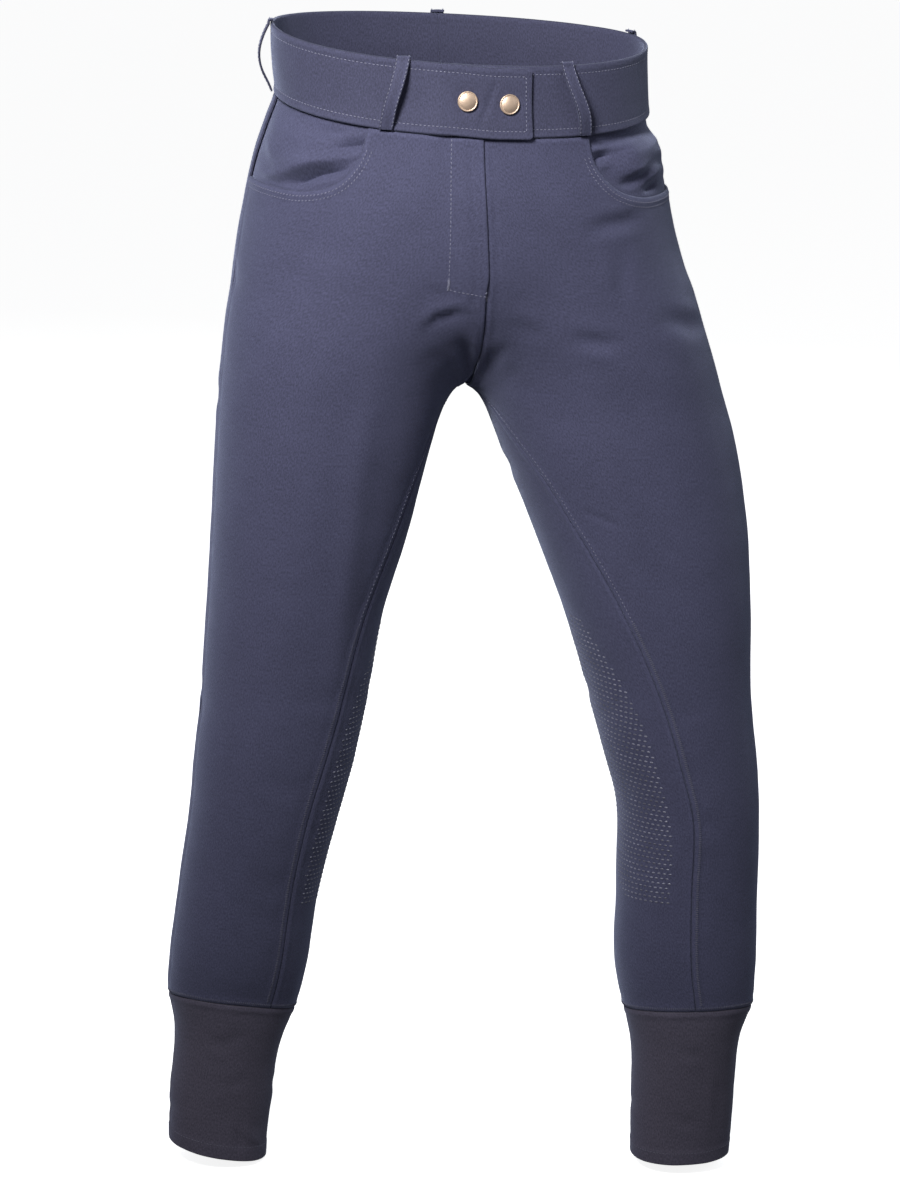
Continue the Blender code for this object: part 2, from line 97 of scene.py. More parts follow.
FLY_END_Z = -164.0
FLY_EDGE = 2.5
TAB_END = 39.5  # places along the waist are measured from its centre front, to the wearer's left
TAB_RISE_START = -46.0  # where the band starts to rise over its other end
UNDERLAP_END = -26.0
TAB_HANG = 1.6
BAND_ROW = 6.4  # from the waistband's edges in to their stitches
BAND_CREASES = (-140.0, 150.0, 262.0, -262.0)
SNAP_ARCS = (-10.5, 21.5)
LOOP_WIDTH = 11.0
SEAM_ROW = 4.6  # from the inner leg seam to its stitches
CUFF_ROW = 3.4  # from the cuff seam up to its stitches
INSEAM_TOP_Z, KNEE_Z, INSEAM_END_Z = -262.0, -436.0, -788.0
ROW_STEP = 2.0  # from point to point along a seam's row
FAR = 99.0  # further from a seam than its marks reach

# A leg's section at each level is an oval with its middle at x (outwards from the centre plane) and mid_y,
# half as wide as half, reaching front and back of mid_y. Tilt and pitch slope a ring across and along.
LEVEL_COLUMNS = (
    "z", "right_x", "right_half", "left_x", "left_half", "front", "back", "right_y", "left_y",
    "melt", "right_tilt", "left_tilt", "pitch",
)
LEVELS = (
    (40, 0, 137, 0, 147, 92, 96, 0, 0, 0, 0, 0, 0),
    (0, 1, 137, 1, 147, 94, 98, 0, 0, 0, 0, 0, 0),
    (-27, 4, 140, 4, 146, 97, 103, 0, 0, 4, 0, 0, 0),
    (-50, 10, 143, 10, 145, 100, 109, 0, 0, 10, 0, 0, 0),
    (-80, 21, 143, 19, 146, 103, 116, 0, 0, 22, 0, 0, 0),
    (-110, 35, 137, 29, 140, 103, 122, 0, 0, 34, 0, 0, 0),
    (-140, 51, 128, 43, 131, 101, 126, -1, -1, 44, 0, 0, 0),
    (-170, 69, 116, 62, 121, 97, 127, -3, -3, 51, 0, 0, 0),
    (-200, 88, 104, 82, 109, 92, 122, -6, -6, 55, 0, 0, 0),
    (-230, 102, 94, 100, 100, 87, 112, -8, -8, 55, 0, 0, 0),
    (-260, 109, 90, 111, 98, 84, 102, -8, -8, 53, 0, 0, 0),
    (-290, 114, 87, 121, 97, 83, 94, -7, -9, 48, 0, 0, 0),
    (-360, 124, 80, 142, 90, 78, 84, -4, -13, 40, 0.02, -0.02, 0),
    (-440, 137, 71, 160, 78, 71, 74, 0, -19, 30, 0.05, -0.04, 0),
    (-520, 146, 67, 174, 67, 65, 65, 3, -23, 20, 0.08, -0.04, 0),
    (-560, 152, 65, 182, 64, 62, 62, 5, -25, 20, 0.09, -0.04, 0),
    (-600, 158, 62, 190, 60, 60, 62, 9, -26, 20, 0.1, -0.03, -0.04),
    (-680, 171, 58, 194, 59, 56, 64, 21, -24, 20, 0.11, -0.02, -0.12),
    (-760, 180, 57, 196, 59, 51, 59, 33, -23, 20, 0.14, -0.02, -0.2),
    (-795, 184, 53, 199, 54, 47, 52, 40, -23, 20, 0.17, -0.01, -0.26),
    (-815, 186, 47, 198, 48, 44, 48, 42, -23, 20, 0.17, 0.0, -0.2),
    (-880, 193, 43, 198, 44, 37, 40, 44, -21, 20, 0.18, 0.0, -0.08),
    (-950, 197, 41, 197, 42, 32, 35, 44, -20, 20, 0.24, 0.0, 0.0),
)
OVAL_POWER = 2.15
BISECTIONS = 26

# Where the inner leg seam lies round each leg's oval: -180 is straight inwards and -90 straight forwards.
SEAM_COLUMNS = ("z", "right", "left")
SEAM = (
    (-240, -180, -180),
    (-262, -163, -163),
    (-300, -150, -147),
    (-360, -139, -133),
    (-440, -130, -117),
    (-520, -122, -104),
    (-600, -117, -99),
    (-700, -120, -99),
    (-795, -121, -95),
    (-950, -121, -92),
)

# The pocket mouth: how high a front panel reaches at each share of the way from side seam to centre front.
POCKET = (
    (0.0, POCKET_DEPTH),
    (0.14, -87.0),
    (0.28, -85.5),
    (0.40, -83.5),
    (0.50, -77.0),
    (0.56, -66.0),
    (0.60, -48.0),
    (0.61, -BAND_HALF),
)
MOUTH_END = POCKET[-1][0]

# Belt loops: place along the waist, how far it stands off the band, how its top leans, and how it curves.
LOOPS = (
    ("loop_front_right", -65.0, 7.0, 6.0, 0.6),
    ("loop_front_left", 76.0, 7.4, -7.0, -1.4),
    ("loop_side_right", -202.0, 8.2, 0.0, 0.5),
    ("loop_side_left", 224.0, 7.0, 0.0, -0.6),
    ("loop_back", None, 7.0, 0.0, 0.4),
)


def smoothstep(value, low, high):
    """0 at low, rising smoothly to 1 at high."""
    t = np.clip((value - low) / (high - low), 0, 1)
    return t * t * (3 - 2 * t)


def column(rows, names, name):
    return np.array([row[names.index(name)] for row in rows], float)


def eased(rows, times):
    """Rows of a line averaged with their neighbours, with its ends kept."""
    for _ in range(times):
        rows[1:-1] = (rows[:-2] + rows[1:-1] * 2 + rows[2:]) / 4
    return rows


def hermite(at, knots, values):
    """A smooth curve through the values, read at the given places."""
    order = np.argsort(knots)
    knots, values = np.asarray(knots, float)[order], np.asarray(values, float)[order]
    slopes = np.gradient(values, knots)
    i = np.clip(np.searchsorted(knots, at) - 1, 0, len(knots) - 2)
    step = knots[i + 1] - knots[i]
    t = np.clip((at - knots[i]) / step, 0, 1)
    return (
        (2 * t**3 - 3 * t**2 + 1) * values[i]
        + (t**3 - 2 * t**2 + t) * step * slopes[i]
        + (3 * t**2 - 2 * t**3) * values[i + 1]
        + (t**3 - t**2) * step * slopes[i + 1]
    )


def level(name, z):
    return hermite(z, column(LEVELS, LEVEL_COLUMNS, "z"), column(LEVELS, LEVEL_COLUMNS, name))


def seam_angle(side, z):
    return hermite(z, column(SEAM, SEAM_COLUMNS, "z"), column(SEAM, SEAM_COLUMNS, SIDE_NAMES[side]))


def leg_oval(side, z):
    """(middle x, half width, front, back, middle y) of one leg's section."""
    name = SIDE_NAMES[side]
    return (
        side * level(name + "_x", z),
        level(name + "_half", z),
        level("front", z),
        level("back", z),
        level(name + "_y", z),
    )


def sections_at(z):
    """The right leg's and the left leg's ovals at levels z, and how far the two melt together."""
    return leg_oval(RIGHT, z), leg_oval(LEFT, z), np.maximum(level("melt", z), 0.001)


def leg_field(oval, x, y):
    """Below zero inside one leg, about the distance in millimetres outside it."""
    middle, half, front, back, mid_y = oval
    across = np.abs(x - middle) / half
    along = np.abs(y - mid_y) / np.where(y < mid_y, front, back)
    return ((across**OVAL_POWER + along**OVAL_POWER) ** (1 / OVAL_POWER) - 1) * half


def body_field(sections, x, y):
    """Both legs, melted into each other where they meet."""
    right_oval, left_oval, melt = sections
    right, left = leg_field(right_oval, x, y), leg_field(left_oval, x, y)
    near = np.maximum(melt - np.abs(right - left), 0) / melt
    return np.minimum(right, left) - near**2 * melt / 4


def shift(z):
    """How far the garment's centre plane stands to the wearer's left at each level."""
    return HIP_SHIFT * smoothstep(-z, BAND_HALF, HIP_SHIFT_END)


def lean(side, sections, x, y, z):
    """How far a point of the level z is raised by the waist's lean and by the tilt of the leg's rings."""
    waist = 1 - smoothstep(-z, 0, LEAN_END)
    middle, _, _, _, mid_y = sections[0 if side == RIGHT else 1]
    tilt = level(SIDE_NAMES[side] + "_tilt", z) * side * (x - middle) + level("pitch", z) * (y - mid_y)
    rounding = 10
    ahead = -rounding * np.log1p(np.exp(-y / rounding))
    fall = WAIST_DIP * ahead + BACK_RISE * (y - ahead)
    return waist * (fall - WAIST_LEAN * x) + tilt


def crossing(low, high, inside):
    """Where inside(value) turns from true to false between low and high, for whole arrays."""
    for _ in range(BISECTIONS):
        middle = (low + high) / 2
        yes = inside(middle)
        low, high = np.where(yes, middle, low), np.where(yes, high, middle)
    return (low + high) / 2


def crotch():
    """(y, z) of the place where the two legs first meet on the centre plane."""
    reach = np.linspace(-60, 60, 1201)

    def apart(z):
        return body_field(sections_at(0 * reach + z[0]), 0 * reach, reach).min(keepdims=True) > 0

    z = float(crossing(np.array([-330.0]), np.array([-150.0]), apart)[0])
    field = body_field(sections_at(0 * reach + z), 0 * reach, reach)
    return float(reach[np.argmin(field)]), z


CROTCH_Y, CROTCH_Z = crotch()


def angle_of(side, z, y):
    """The angle round a leg's oval of a place y on the centre plane."""
    middle, half, front, back, mid_y = leg_oval(side, z)
    depth = np.where(y < mid_y, front, back)
    return np.degrees(np.arctan2((y - mid_y) / depth, -np.abs(middle) / half))


def centre_angle(side, z, way):
    """The angle at which the garment meets the centre plane. way is -1 at the front."""
    start = np.full(np.shape(z), CROTCH_Y)
    sections = sections_at(z)
    y = crossing(start, start + way * 260.0, lambda at: body_field(sections, 0 * z, at) < 0)
    return angle_of(side, z, y)


def front_end(side, z):
    """The angle at which a front panel ends: at the centre front, then at the inner leg seam."""
    start = angle_of(side, np.array([CROTCH_Z]), CROTCH_Y)[0]
    start = start - 360 if start > 0 else start
    fade = np.exp(np.minimum(z - CROTCH_Z, 0) / 25.0)
    below = seam_angle(side, z) - (seam_angle(side, CROTCH_Z) - start) * fade
    above = centre_angle(side, np.maximum(z, CROTCH_Z + 0.01), -1)
    above = np.where(above > 0, above - 360, above)
    return np.where(z > CROTCH_Z, above, below)


def back_end(side, z):
    """The angle at which a back panel ends: at the centre back, then at the same inner leg seam."""
    above = centre_angle(side, np.maximum(z, CROTCH_Z + 0.01), 1)
    above = np.where(above < 0, above + 360, above)
    return np.where(z > CROTCH_Z, above, 360 + front_end(side, np.minimum(z, CROTCH_Z)))


def surface(side, z, angle):
    """Points of the garment at levels z and at angles round one leg, 0 being the side seam."""
    sections = sections_at(z)
    middle, half, front, back, mid_y = sections[0 if side == RIGHT else 1]
    turn = np.radians(angle)
    dx = side * np.cos(turn) * half
    dy = np.sin(turn) * np.where(np.sin(turn) > 0, back, front)
    reach = (np.abs(np.cos(turn)) ** OVAL_POWER + np.abs(np.sin(turn)) ** OVAL_POWER) ** (-1 / OVAL_POWER)
    inwards = dx * side < -1e-6
    to_centre = np.where(inwards, np.abs(middle) / np.where(inwards, np.abs(dx), 1.0), np.inf)
    far = np.minimum(1.9 * reach, to_centre)
    share = crossing(0.9 * reach, far, lambda t: body_field(sections, middle + t * dx, mid_y + t * dy) < 0)
    x, y = middle + share * dx, mid_y + share * dy
    return np.stack([x + shift(z), y, z + lean(side, sections, x, y, z)], -1)


def outward(z, points):
    """Unit normals of the garment surface at points that lie on levels z."""
    x, y = points[..., 0] - shift(z), points[..., 1]
    step = 0.5
    here, above, below = sections_at(z), sections_at(z + step), sections_at(z - step)
    normal = np.stack(
        [
            body_field(here, x + step, y) - body_field(here, x - step, y),
            body_field(here, x, y + step) - body_field(here, x, y - step),
            body_field(above, x, y) - body_field(below, x, y),
        ],
        -1,
    )
    return normal / np.linalg.norm(normal, axis=-1, keepdims=True)


# ---------------------------------------------------------------- folds and softness
# Each fold: the way it faces, its kind, its half width, its depth, whether it keeps its depth at its
# start and end, and its path as (across, up) in that view.
FOLDS = {
    "front_right": (
        ("front", "crease", 2.4, 1.5, (0, 1), ((-44, -159), (-22, -161))),
        ("front", "step", 4.6, 2.3, (0, 0), ((-49, -194), (-32, -179), (-16, -175), (0, -173))),
        ("front", "crease", 2.4, 1.0, (0, 1), ((-34, -168), (-16, -165), (-4, -168))),
        ("front", "trough", 5.5, 2.8, (0, 1), ((-18, -196), (-5, -211), (9, -236))),
        ("front", "ridge", 3.5, 0.8, (0, 1), ((-4, -176), (1, -203), (7, -236))),
        ("front", "ridge", 11.0, 2.3, (0, 0), ((-69, -140), (-91, -327), (-112, -600))),
        ("front", "trough", 7.0, 0.7, (0, 0), ((-52, -226), (-24, -214), (-6, -212))),
        ("front", "trough", 9.0, 0.7, (0, 0), ((-140, -118), (-108, -130), (-86, -134))),
        ("front", "trough", 9.0, 0.6, (0, 0), ((-150, -486), (-118, -498), (-88, -494))),
        ("front", "trough", 8.0, 0.5, (0, 0), ((-168, -560), (-140, -574), (-112, -572))),
        ("front", "trough", 10.0, 0.6, (0, 0), ((-175, -650), (-150, -664), (-126, -662))),
        ("right", "trough", 9.0, 0.8, (0, 0), ((30, -150), (-10, -166), (-40, -164))),
        ("right", "trough", 9.0, 0.8, (0, 0), ((40, -506), (5, -520), (-30, -512))),
        ("left", "trough", 8.0, 1.0, (0, 0), ((30, -300), (-5, -318), (-45, -316))),
    ),
    "front_left": (
        ("front", "trough", 6.0, 2.4, (0, 0), ((78, -115), (108, -112), (142, -109))),
        ("front", "trough", 8.0, 1.2, (0, 0), ((112, -122), (116, -150), (118, -178))),
        ("front", "trough", 6.0, 2.4, (0, 0), ((66, -198), (95, -203), (124, -207))),
        ("front", "trough", 6.5, 2.7, (0, 0), ((142, -184), (170, -194), (200, -208))),
        ("front", "ridge", 7.0, 1.0, (0, 0), ((132, -196), (160, -212), (188, -226))),
        ("front", "crease", 2.4, 1.3, (0, 0), ((86, -341), (104, -347), (126, -355))),
        ("front", "trough", 2.2, 0.5, (0, 0), ((174, -327), (184, -331))),
        ("front", "ridge", 13.0, 1.6, (0, 0), ((84, -180), (128, -380), (166, -580))),
        ("front", "step", 6.0, 0.9, (0, 0), ((58, -196), (36, -186), (20, -184))),
        ("front", "trough", 6.0, 1.2, (0, 1), ((34, -204), (22, -216), (13, -238))),
        ("front", "trough", 9.0, 0.6, (0, 0), ((150, -500), (180, -512), (208, -506))),
        ("front", "trough", 9.0, 0.6, (0, 0), ((176, -596), (200, -608), (226, -604))),
        ("left", "trough", 9.0, 0.8, (0, 0), ((30, -146), (-10, -160), (-40, -160))),
        ("left", "trough", 9.0, 0.8, (0, 0), ((30, -512), (-5, -528), (-40, -520))),
        ("right", "trough", 8.0, 1.0, (0, 0), ((30, -306), (-5, -322), (-45, -320))),
    ),
    "back_right": (
        ("back", "trough", 9.0, 2.6, (1, 0), ((2, -248), (-34, -258), (-78, -252), (-118, -236))),
        ("back", "trough", 6.0, 1.4, (1, 0), ((-4, -282), (-36, -296), (-66, -300))),
        ("back", "trough", 7.0, 1.2, (0, 0), ((-120, -268), (-88, -278), (-58, -276))),
        ("back", "trough", 8.0, 0.9, (1, 0), ((4, -120), (-26, -132), (-56, -128))),
        ("back", "trough", 9.0, 0.8, (1, 0), ((-4, -62), (-34, -74), (-70, -72))),
        ("back", "trough", 6.5, 1.9, (0, 0), ((-98, -470), (-132, -484), (-176, -478))),
        ("back", "trough", 6.0, 1.6, (0, 0), ((-192, -500), (-158, -508), (-112, -500))),
        ("back", "trough", 6.0, 1.3, (0, 0), ((-112, -532), (-148, -542), (-188, -532))),
        ("back", "trough", 9.0, 0.9, (0, 0), ((-126, -650), (-160, -664), (-200, -656))),
        ("back", "ridge", 16.0, 1.0, (0, 0), ((-104, -300), (-130, -440))),
        ("right", "trough", 8.0, 1.2, (0, 0), ((60, -250), (20, -262), (-20, -258))),
        ("right", "trough", 7.0, 1.3, (0, 0), ((55, -492), (25, -504), (-10, -500))),
        ("left", "trough", 7.0, 1.3, (0, 0), ((60, -300), (20, -318), (-30, -316))),
        ("left", "trough", 7.0, 1.2, (0, 0), ((55, -492), (20, -506), (-30, -498))),
    ),
    "back_left": (
        ("back", "trough", 9.0, 2.4, (1, 0), ((14, -250), (48, -262), (94, -254), (134, -240))),
        ("back", "trough", 6.0, 1.5, (1, 0), ((22, -286), (54, -302), (86, -304))),
        ("back", "trough", 7.0, 1.1, (0, 0), ((142, -272), (108, -284), (76, -282))),
        ("back", "trough", 8.0, 0.8, (1, 0), ((10, -138), (44, -150), (78, -144))),
        ("back", "trough", 9.0, 0.8, (1, 0), ((6, -70), (44, -80), (84, -76))),
        ("back", "trough", 6.5, 1.8, (0, 0), ((118, -476), (156, -492), (202, -484))),
        ("back", "trough", 6.0, 1.7, (0, 0), ((224, -508), (184, -518), (140, -508))),
        ("back", "trough", 6.0, 1.2, (0, 0), ((144, -544), (178, -554), (216, -542))),
        ("back", "trough", 9.0, 0.9, (0, 0), ((160, -660), (192, -676), (230, -668))),
        ("back", "ridge", 16.0, 1.0, (0, 0), ((122, -310), (160, -450))),
        ("left", "trough", 8.0, 1.2, (0, 0), ((60, -254), (20, -268), (-20, -262))),
        ("left", "trough", 7.0, 1.3, (0, 0), ((45, -500), (15, -512), (-20, -508))),
        ("right", "trough", 7.0, 1.3, (0, 0), ((55, -306), (15, -322), (-35, -320))),
        ("right", "trough", 7.0, 1.2, (0, 0), ((45, -500), (10, -514), (-40, -506))),
    ),
    "pocket_facing_right": (
        (
            "front", "crease", 4.0, 5.4, (1, 0),
            ((-152, -87), (-138, -82), (-122, -74), (-105, -69), (-88, -65)),
        ),
        ("front", "ridge", 6.0, 3.4, (1, 0), ((-148, -73), (-120, -63), (-96, -58))),
        ("front", "ridge", 4.0, 1.2, (0, 0), ((-134, -90), (-114, -83), (-98, -77))),
        ("front", "crease", 4.0, 3.6, (1, 0), ((-76, -45), (-92, -50), (-114, -54))),
        ("front", "trough", 4.5, 1.8, (0, 0), ((-136, -46), (-112, -41), (-92, -38))),
        ("front", "ridge", 5.0, 1.6, (0, 0), ((-163, -88), (-150, -83), (-139, -84))),
        ("right", "trough", 6.0, 1.8, (0, 0), ((-4, -62), (-40, -70), (-60, -76))),
    ),
    "pocket_facing_left": (
        ("front", "crease", 3.6, 4.6, (1, 0), ((84, -46), (100, -48), (118, -47), (150, -40))),
        ("front", "ridge", 3.5, 1.8, (1, 0), ((84, -38), (116, -40), (146, -33))),
        ("front", "crease", 3.4, 3.0, (1, 0), ((90, -64), (99, -61), (109, -60))),
        ("front", "ridge", 10.0, 2.2, (0, 0), ((104, -72), (126, -66), (150, -60))),
        ("front", "crease", 4.5, 3.6, (0, 0), ((136, -91), (146, -89), (154, -88))),
        ("front", "trough", 4.0, 2.4, (0, 0), ((110, -84), (130, -80), (146, -74))),
        ("left", "trough", 5.0, 2.0, (0, 0), ((-62, -70), (-30, -74), (-4, -66))),
    ),
    "cuff_right": (
        ("front", "ridge", 4.0, 1.3, (0, 0), ((-180, -886), (-162, -911), (-146, -930))),
        ("front", "trough", 4.0, 0.9, (0, 0), ((-171, -880), (-172, -905), (-171, -930))),
        ("front", "trough", 6.0, 0.8, (0, 0), ((-168, -806), (-186, -818), (-206, -812))),
        ("front", "trough", 5.0, 0.6, (0, 0), ((-160, -850), (-180, -858), (-200, -852))),
        ("back", "trough", 5.0, 1.2, (0, 0), ((-160, -846), (-186, -856), (-214, -850))),
        ("back", "trough", 5.0, 1.1, (0, 0), ((-166, -884), (-190, -892), (-216, -884))),
        ("right", "trough", 5.0, 0.8, (0, 0), ((20, -880), (40, -892), (64, -888))),
        ("left", "trough", 5.0, 0.8, (0, 0), ((20, -862), (44, -874), (68, -868))),
    ),
    "cuff_left": (
        ("front", "ridge", 5.0, 0.9, (0, 0), ((219, -806), (222, -860), (222, -924))),
        ("front", "trough", 5.0, 0.7, (0, 0), ((186, -812), (202, -822), (218, -818))),
        ("front", "trough", 5.0, 0.6, (0, 0), ((182, -878), (200, -888), (216, -884))),
        ("back", "trough", 5.0, 1.2, (0, 0), ((176, -850), (204, -862), (230, -854))),
        ("back", "trough", 5.0, 1.1, (0, 0), ((180, -888), (204, -898), (232, -890))),
        ("left", "trough", 5.0, 0.8, (0, 0), ((-40, -862), (-18, -872), (6, -866))),
        ("right", "trough", 5.0, 0.8, (0, 0), ((-40, -876), (-16, -886), (8, -880))),
    ),
}
# The horizontal axis of each view, and the normal that faces it.
VIEWS = {"front": (0, (0, -1)), "back": (0, (0, 1)), "right": (1, (-1, 0)), "left": (1, (1, 0))}


def distance_to_path(flat, path):
    """(distance, share of the way along, side) of flat places to a line of flat places."""
    path = np.asarray(path, float)
    lengths = np.linalg.norm(np.diff(path, axis=0), axis=1)
    before = np.concatenate([[0], np.cumsum(lengths)])
    best = np.full(flat.shape[:-1], np.inf)
    share, hand = np.zeros(best.shape), np.ones(best.shape)
    for a, b, length, start in zip(path[:-1], path[1:], lengths, before):
        way = (b - a) / length
        rel = flat - a
        t = np.clip(rel @ way, 0, length)
        gap = rel - t[..., None] * way
        d = np.linalg.norm(gap, axis=-1)
        nearer = d < best
        best = np.where(nearer, d, best)
        share = np.where(nearer, (start + t) / before[-1], share)
        hand = np.where(nearer, np.sign(way[0] * gap[..., 1] - way[1] * gap[..., 0]), hand)
    return best, share, hand


def fold_height(piece, points, normals):
    """How far the cloth stands off its plain form at each point, from the folds of that piece."""
    height = np.zeros(points.shape[:-1])
    for view, kind, width, depth, ends, path in FOLDS.get(piece, ()):
        axis, facing = VIEWS[view]
        weight = smoothstep(normals[..., 0] * facing[0] + normals[..., 1] * facing[1], 0.05, 0.45)
        flat = np.stack([points[..., axis], points[..., 2]], -1)
        distance, share, hand = distance_to_path(flat, path)
        q = distance / width
        weight = weight * (ends[0] + (1 - ends[0]) * smoothstep(share, 0, 0.45))
        weight = weight * (ends[1] + (1 - ends[1]) * smoothstep(1 - share, 0, 0.45))
        if kind == "trough":
            shape = -np.exp(-(q**2)) + 0.3 * np.exp(-1.5 * (q - 1.8) ** 2)
        elif kind == "crease":
            shape = -np.exp(-1.4 * q) + 0.35 * np.exp(-1.5 * (q - 2.0) ** 2)
        elif kind == "ridge":
            shape = np.exp(-(q**2))
        else:
            way = 1.0 if path[-1][0] > path[0][0] else -1.0
            shape = 1.65 * way * hand * q * np.exp(-(q**2) / 1.6)
        height += depth * weight * shape
    return height


def softness(points, size, height):
    """Slow, uneven swells, so that no stretch of cloth is quite smooth."""
    x, y, z = (points[..., k] / size for k in range(3))
    return height * (
        np.sin(1.7 * x + 0.6 * z + 1.1) * np.sin(1.3 * z - 0.5 * y + 0.4)
        + 0.6 * np.sin(2.3 * y + 1.9 * z + 2.0) * np.sin(2.9 * x - 0.8 * z)
        + 0.35 * np.sin(4.1 * x + 3.3 * z + 0.7) * np.sin(3.7 * y - 2.6 * z)
    )


# ---------------------------------------------------------------- cloth pieces
def settings():
    """The sizes and colours that the panel shows."""
    return bpy.context.scene.breeches


def placed(name, data):
    """A new object in the scene, at the origin."""
    made = bpy.data.objects.new(name, data)
    bpy.context.scene.collection.objects.link(made)
    return made


HIP_ROWS = 64
LEG_ROWS = 140
PANEL_COLUMNS = 104
SEAM_ROLL = 1.3  # how wide a sewn edge turns in
RAY_START, RAY_REACH = 9.0, 22.0  # how far off the plain form a row starts its way down, and how far it goes
RUNS = {}  # stitch rows still to be sewn, by kind
MADE = {}  # finished cloth pieces, by name


class Sheet:
    """A grid of cloth: points, normals, levels, and how far each point is from each edge."""

    def __init__(self, points, normals, level_z, angles=None):
        self.points = points
        self.normals = normals / np.linalg.norm(normals, axis=-1, keepdims=True)
        self.level = level_z
        across = np.linalg.norm(np.diff(points, axis=1), axis=-1)
        down = np.linalg.norm(np.diff(points, axis=0), axis=-1)
        self.from_start = np.pad(np.cumsum(across, 1), ((0, 0), (1, 0)))
        self.from_end = self.from_start[:, -1:] - self.from_start
        self.from_top = np.pad(np.cumsum(down, 0), ((1, 0), (0, 0)))
        self.from_bottom = self.from_top[-1:] - self.from_top
        level_steps = np.linalg.norm(np.diff(points[..., :2], axis=1), axis=-1)
        self.run = np.pad(np.cumsum(level_steps, 1), ((0, 0), (1, 0)))
        grain = self.run[:, points.shape[1] // 2 :][:, :1]
        if angles is not None:
            grain = np.array([[np.interp(90.0, turn, row)] for turn, row in zip(np.abs(angles), self.run)])
        self.run = self.run - grain


def crowded(count, within):
    """Shares from 0 to 1 that crowd together near 0."""
    u = np.linspace(0, 1, count)
    bent = u - 0.8 * within * (1 - np.exp(-u / within))
    return bent / bent[-1]


def crowded_ends(count, crowd=0.8):
    """Shares from 0 to 1 that crowd together near both ends."""
    u = np.linspace(0, 1, count)
    return u - crowd * np.sin(2 * math.pi * u) / (2 * math.pi)


def row_heights(across):
    """Levels of a panel's rows, from the band to the cuff seam, close together at seams and crotch."""
    t = (1 - crowded(HIP_ROWS + 1, 0.06))[:, None]
    hip, leg = -BAND_HALF - CROTCH_Z, CUFF_SEAM_Z - CROTCH_Z
    down = (1 - crowded(LEG_ROWS + 1, 0.03)[::-1])[1:, None]
    hip_end, leg_end = hip * (0.14 * t + 0.86 * t**2), leg * (0.75 * down + 0.25 * down**2)
    end = CROTCH_Z + np.concatenate([hip_end, leg_end])
    raised = 14
    side = CROTCH_Z + raised + np.concatenate([(hip - raised) * t, (leg - raised) * down])
    return end + (side - end) * (1 - across[None, :]) ** 2


def mouth_line():
    """The pocket mouth as a smooth line of (share across, level)."""
    knots = np.array(POCKET)
    at = np.linspace(0, len(knots) - 1, 400)
    index = np.arange(len(knots))
    return np.maximum.accumulate(hermite(at, index, knots[:, 0])), hermite(at, index, knots[:, 1])


def pocket_mouth(across):
    return np.interp(across, *mouth_line())


def rolled(distance, width=SEAM_ROLL, depth=1.0):
    """How far an edge's face turns down at a distance from it."""
    q = np.clip(1 - distance / width, 0, 1)
    return depth * (1 - np.sqrt(np.maximum(1 - q**2, 0)))


def seam_relief(distance, run):
    """The small swell over a seam's turnings, drawn in unevenly by its stitches."""
    uneven = 0.6 + 0.4 * np.sin(run / 5.3 + 1.7 * np.sin(run / 31.0))
    swell = 0.34 * np.exp(-(((distance - 4.2) / 2.6) ** 2))
    drawn = 0.30 * uneven * np.exp(-(((distance - 9.0) / 3.4) ** 2))
    return swell - drawn


def wall(name, sheet, outer, inner, finish, seam=None, tube=False):
    """A closed wall of cloth over a sheet, from inner to outer along its normals, as a mesh object."""
    rows, columns = sheet.points.shape[:2]
    count = rows * columns
    both = []
    for lift in (outer, inner):
        lift = np.broadcast_to(lift, (rows, columns))[..., None]
        both.append((sheet.points + sheet.normals * lift).reshape(-1, 3))
    index = np.arange(count).reshape(rows, columns)
    if tube:
        index = np.concatenate([index, index[:, :1]], 1)
    a, b, c, d = index[:-1, :-1], index[:-1, 1:], index[1:, 1:], index[1:, :-1]
    faces = [np.stack([a, b, c, d], -1).reshape(-1, 4), np.stack([a, d, c, b], -1).reshape(-1, 4) + count]
    rims = [index[0, :], index[-1, ::-1]]
    if not tube:
        rims += [index[::-1, 0], index[:, -1]]
    for rim in rims:
        faces.append(np.stack([rim[1:], rim[:-1], rim[:-1] + count, rim[1:] + count], -1))
    faces = np.concatenate(faces)
    vertices = np.concatenate(both)
    mesh = bpy.data.meshes.new(name)
    mesh.from_pydata((vertices * MM).tolist(), [], faces.tolist())
    turn_outwards(mesh)
    flat = np.stack([sheet.run, sheet.level], -1).reshape(-1, 2) * MM
    flat = np.concatenate([flat, flat])
    corner = np.empty(len(mesh.loops), np.int32)
    mesh.loops.foreach_get("vertex_index", corner)
    layer = mesh.uv_layers.new(name="cut")
    layer.data.foreach_set("uv", flat[corner].astype(np.float32).ravel())
    # Each point's distance to its nearest sewn edge: the cloth finish paints shade along the edges from it,
    # and puckers and lightens the cloth beside them.
    seam = np.broadcast_to(FAR if seam is None else seam, (rows, columns)).astype(np.float32)
    near = mesh.attributes.new("seam_mm", "FLOAT", "POINT")
    near.data.foreach_set("value", np.tile(seam.ravel(), 2))
    mesh.shade_smooth()
    mesh.set_sharp_from_angle(angle=math.radians(55))
    mesh.materials.append(finish)
    made = placed(name + "_cloth", mesh)
    MADE[name] = BVHTree.FromPolygons(vertices.tolist(), faces.tolist())
    return made


def turn_outwards(mesh):
    """Turns every face of a closed mesh to the outside."""
    shaped = bmesh.new()
    shaped.from_mesh(mesh)
    bmesh.ops.recalc_face_normals(shaped, faces=shaped.faces)
    shaped.to_mesh(mesh)
    shaped.free()


def laid_on(names, points, normals):
    """The points moved along their normals on to the nearest of the named pieces' faces."""
    moved = []
    for point, normal in zip(points, normals):
        start = Vector(point + normal * RAY_START)
        best, found = RAY_REACH, point
        for name in names:
            place, _, _, distance = MADE[name].ray_cast(start, Vector(-normal), best)
            if place is not None and distance < best:
                best, found = distance, np.array(place)
        moved.append(found)
    return np.array(moved)


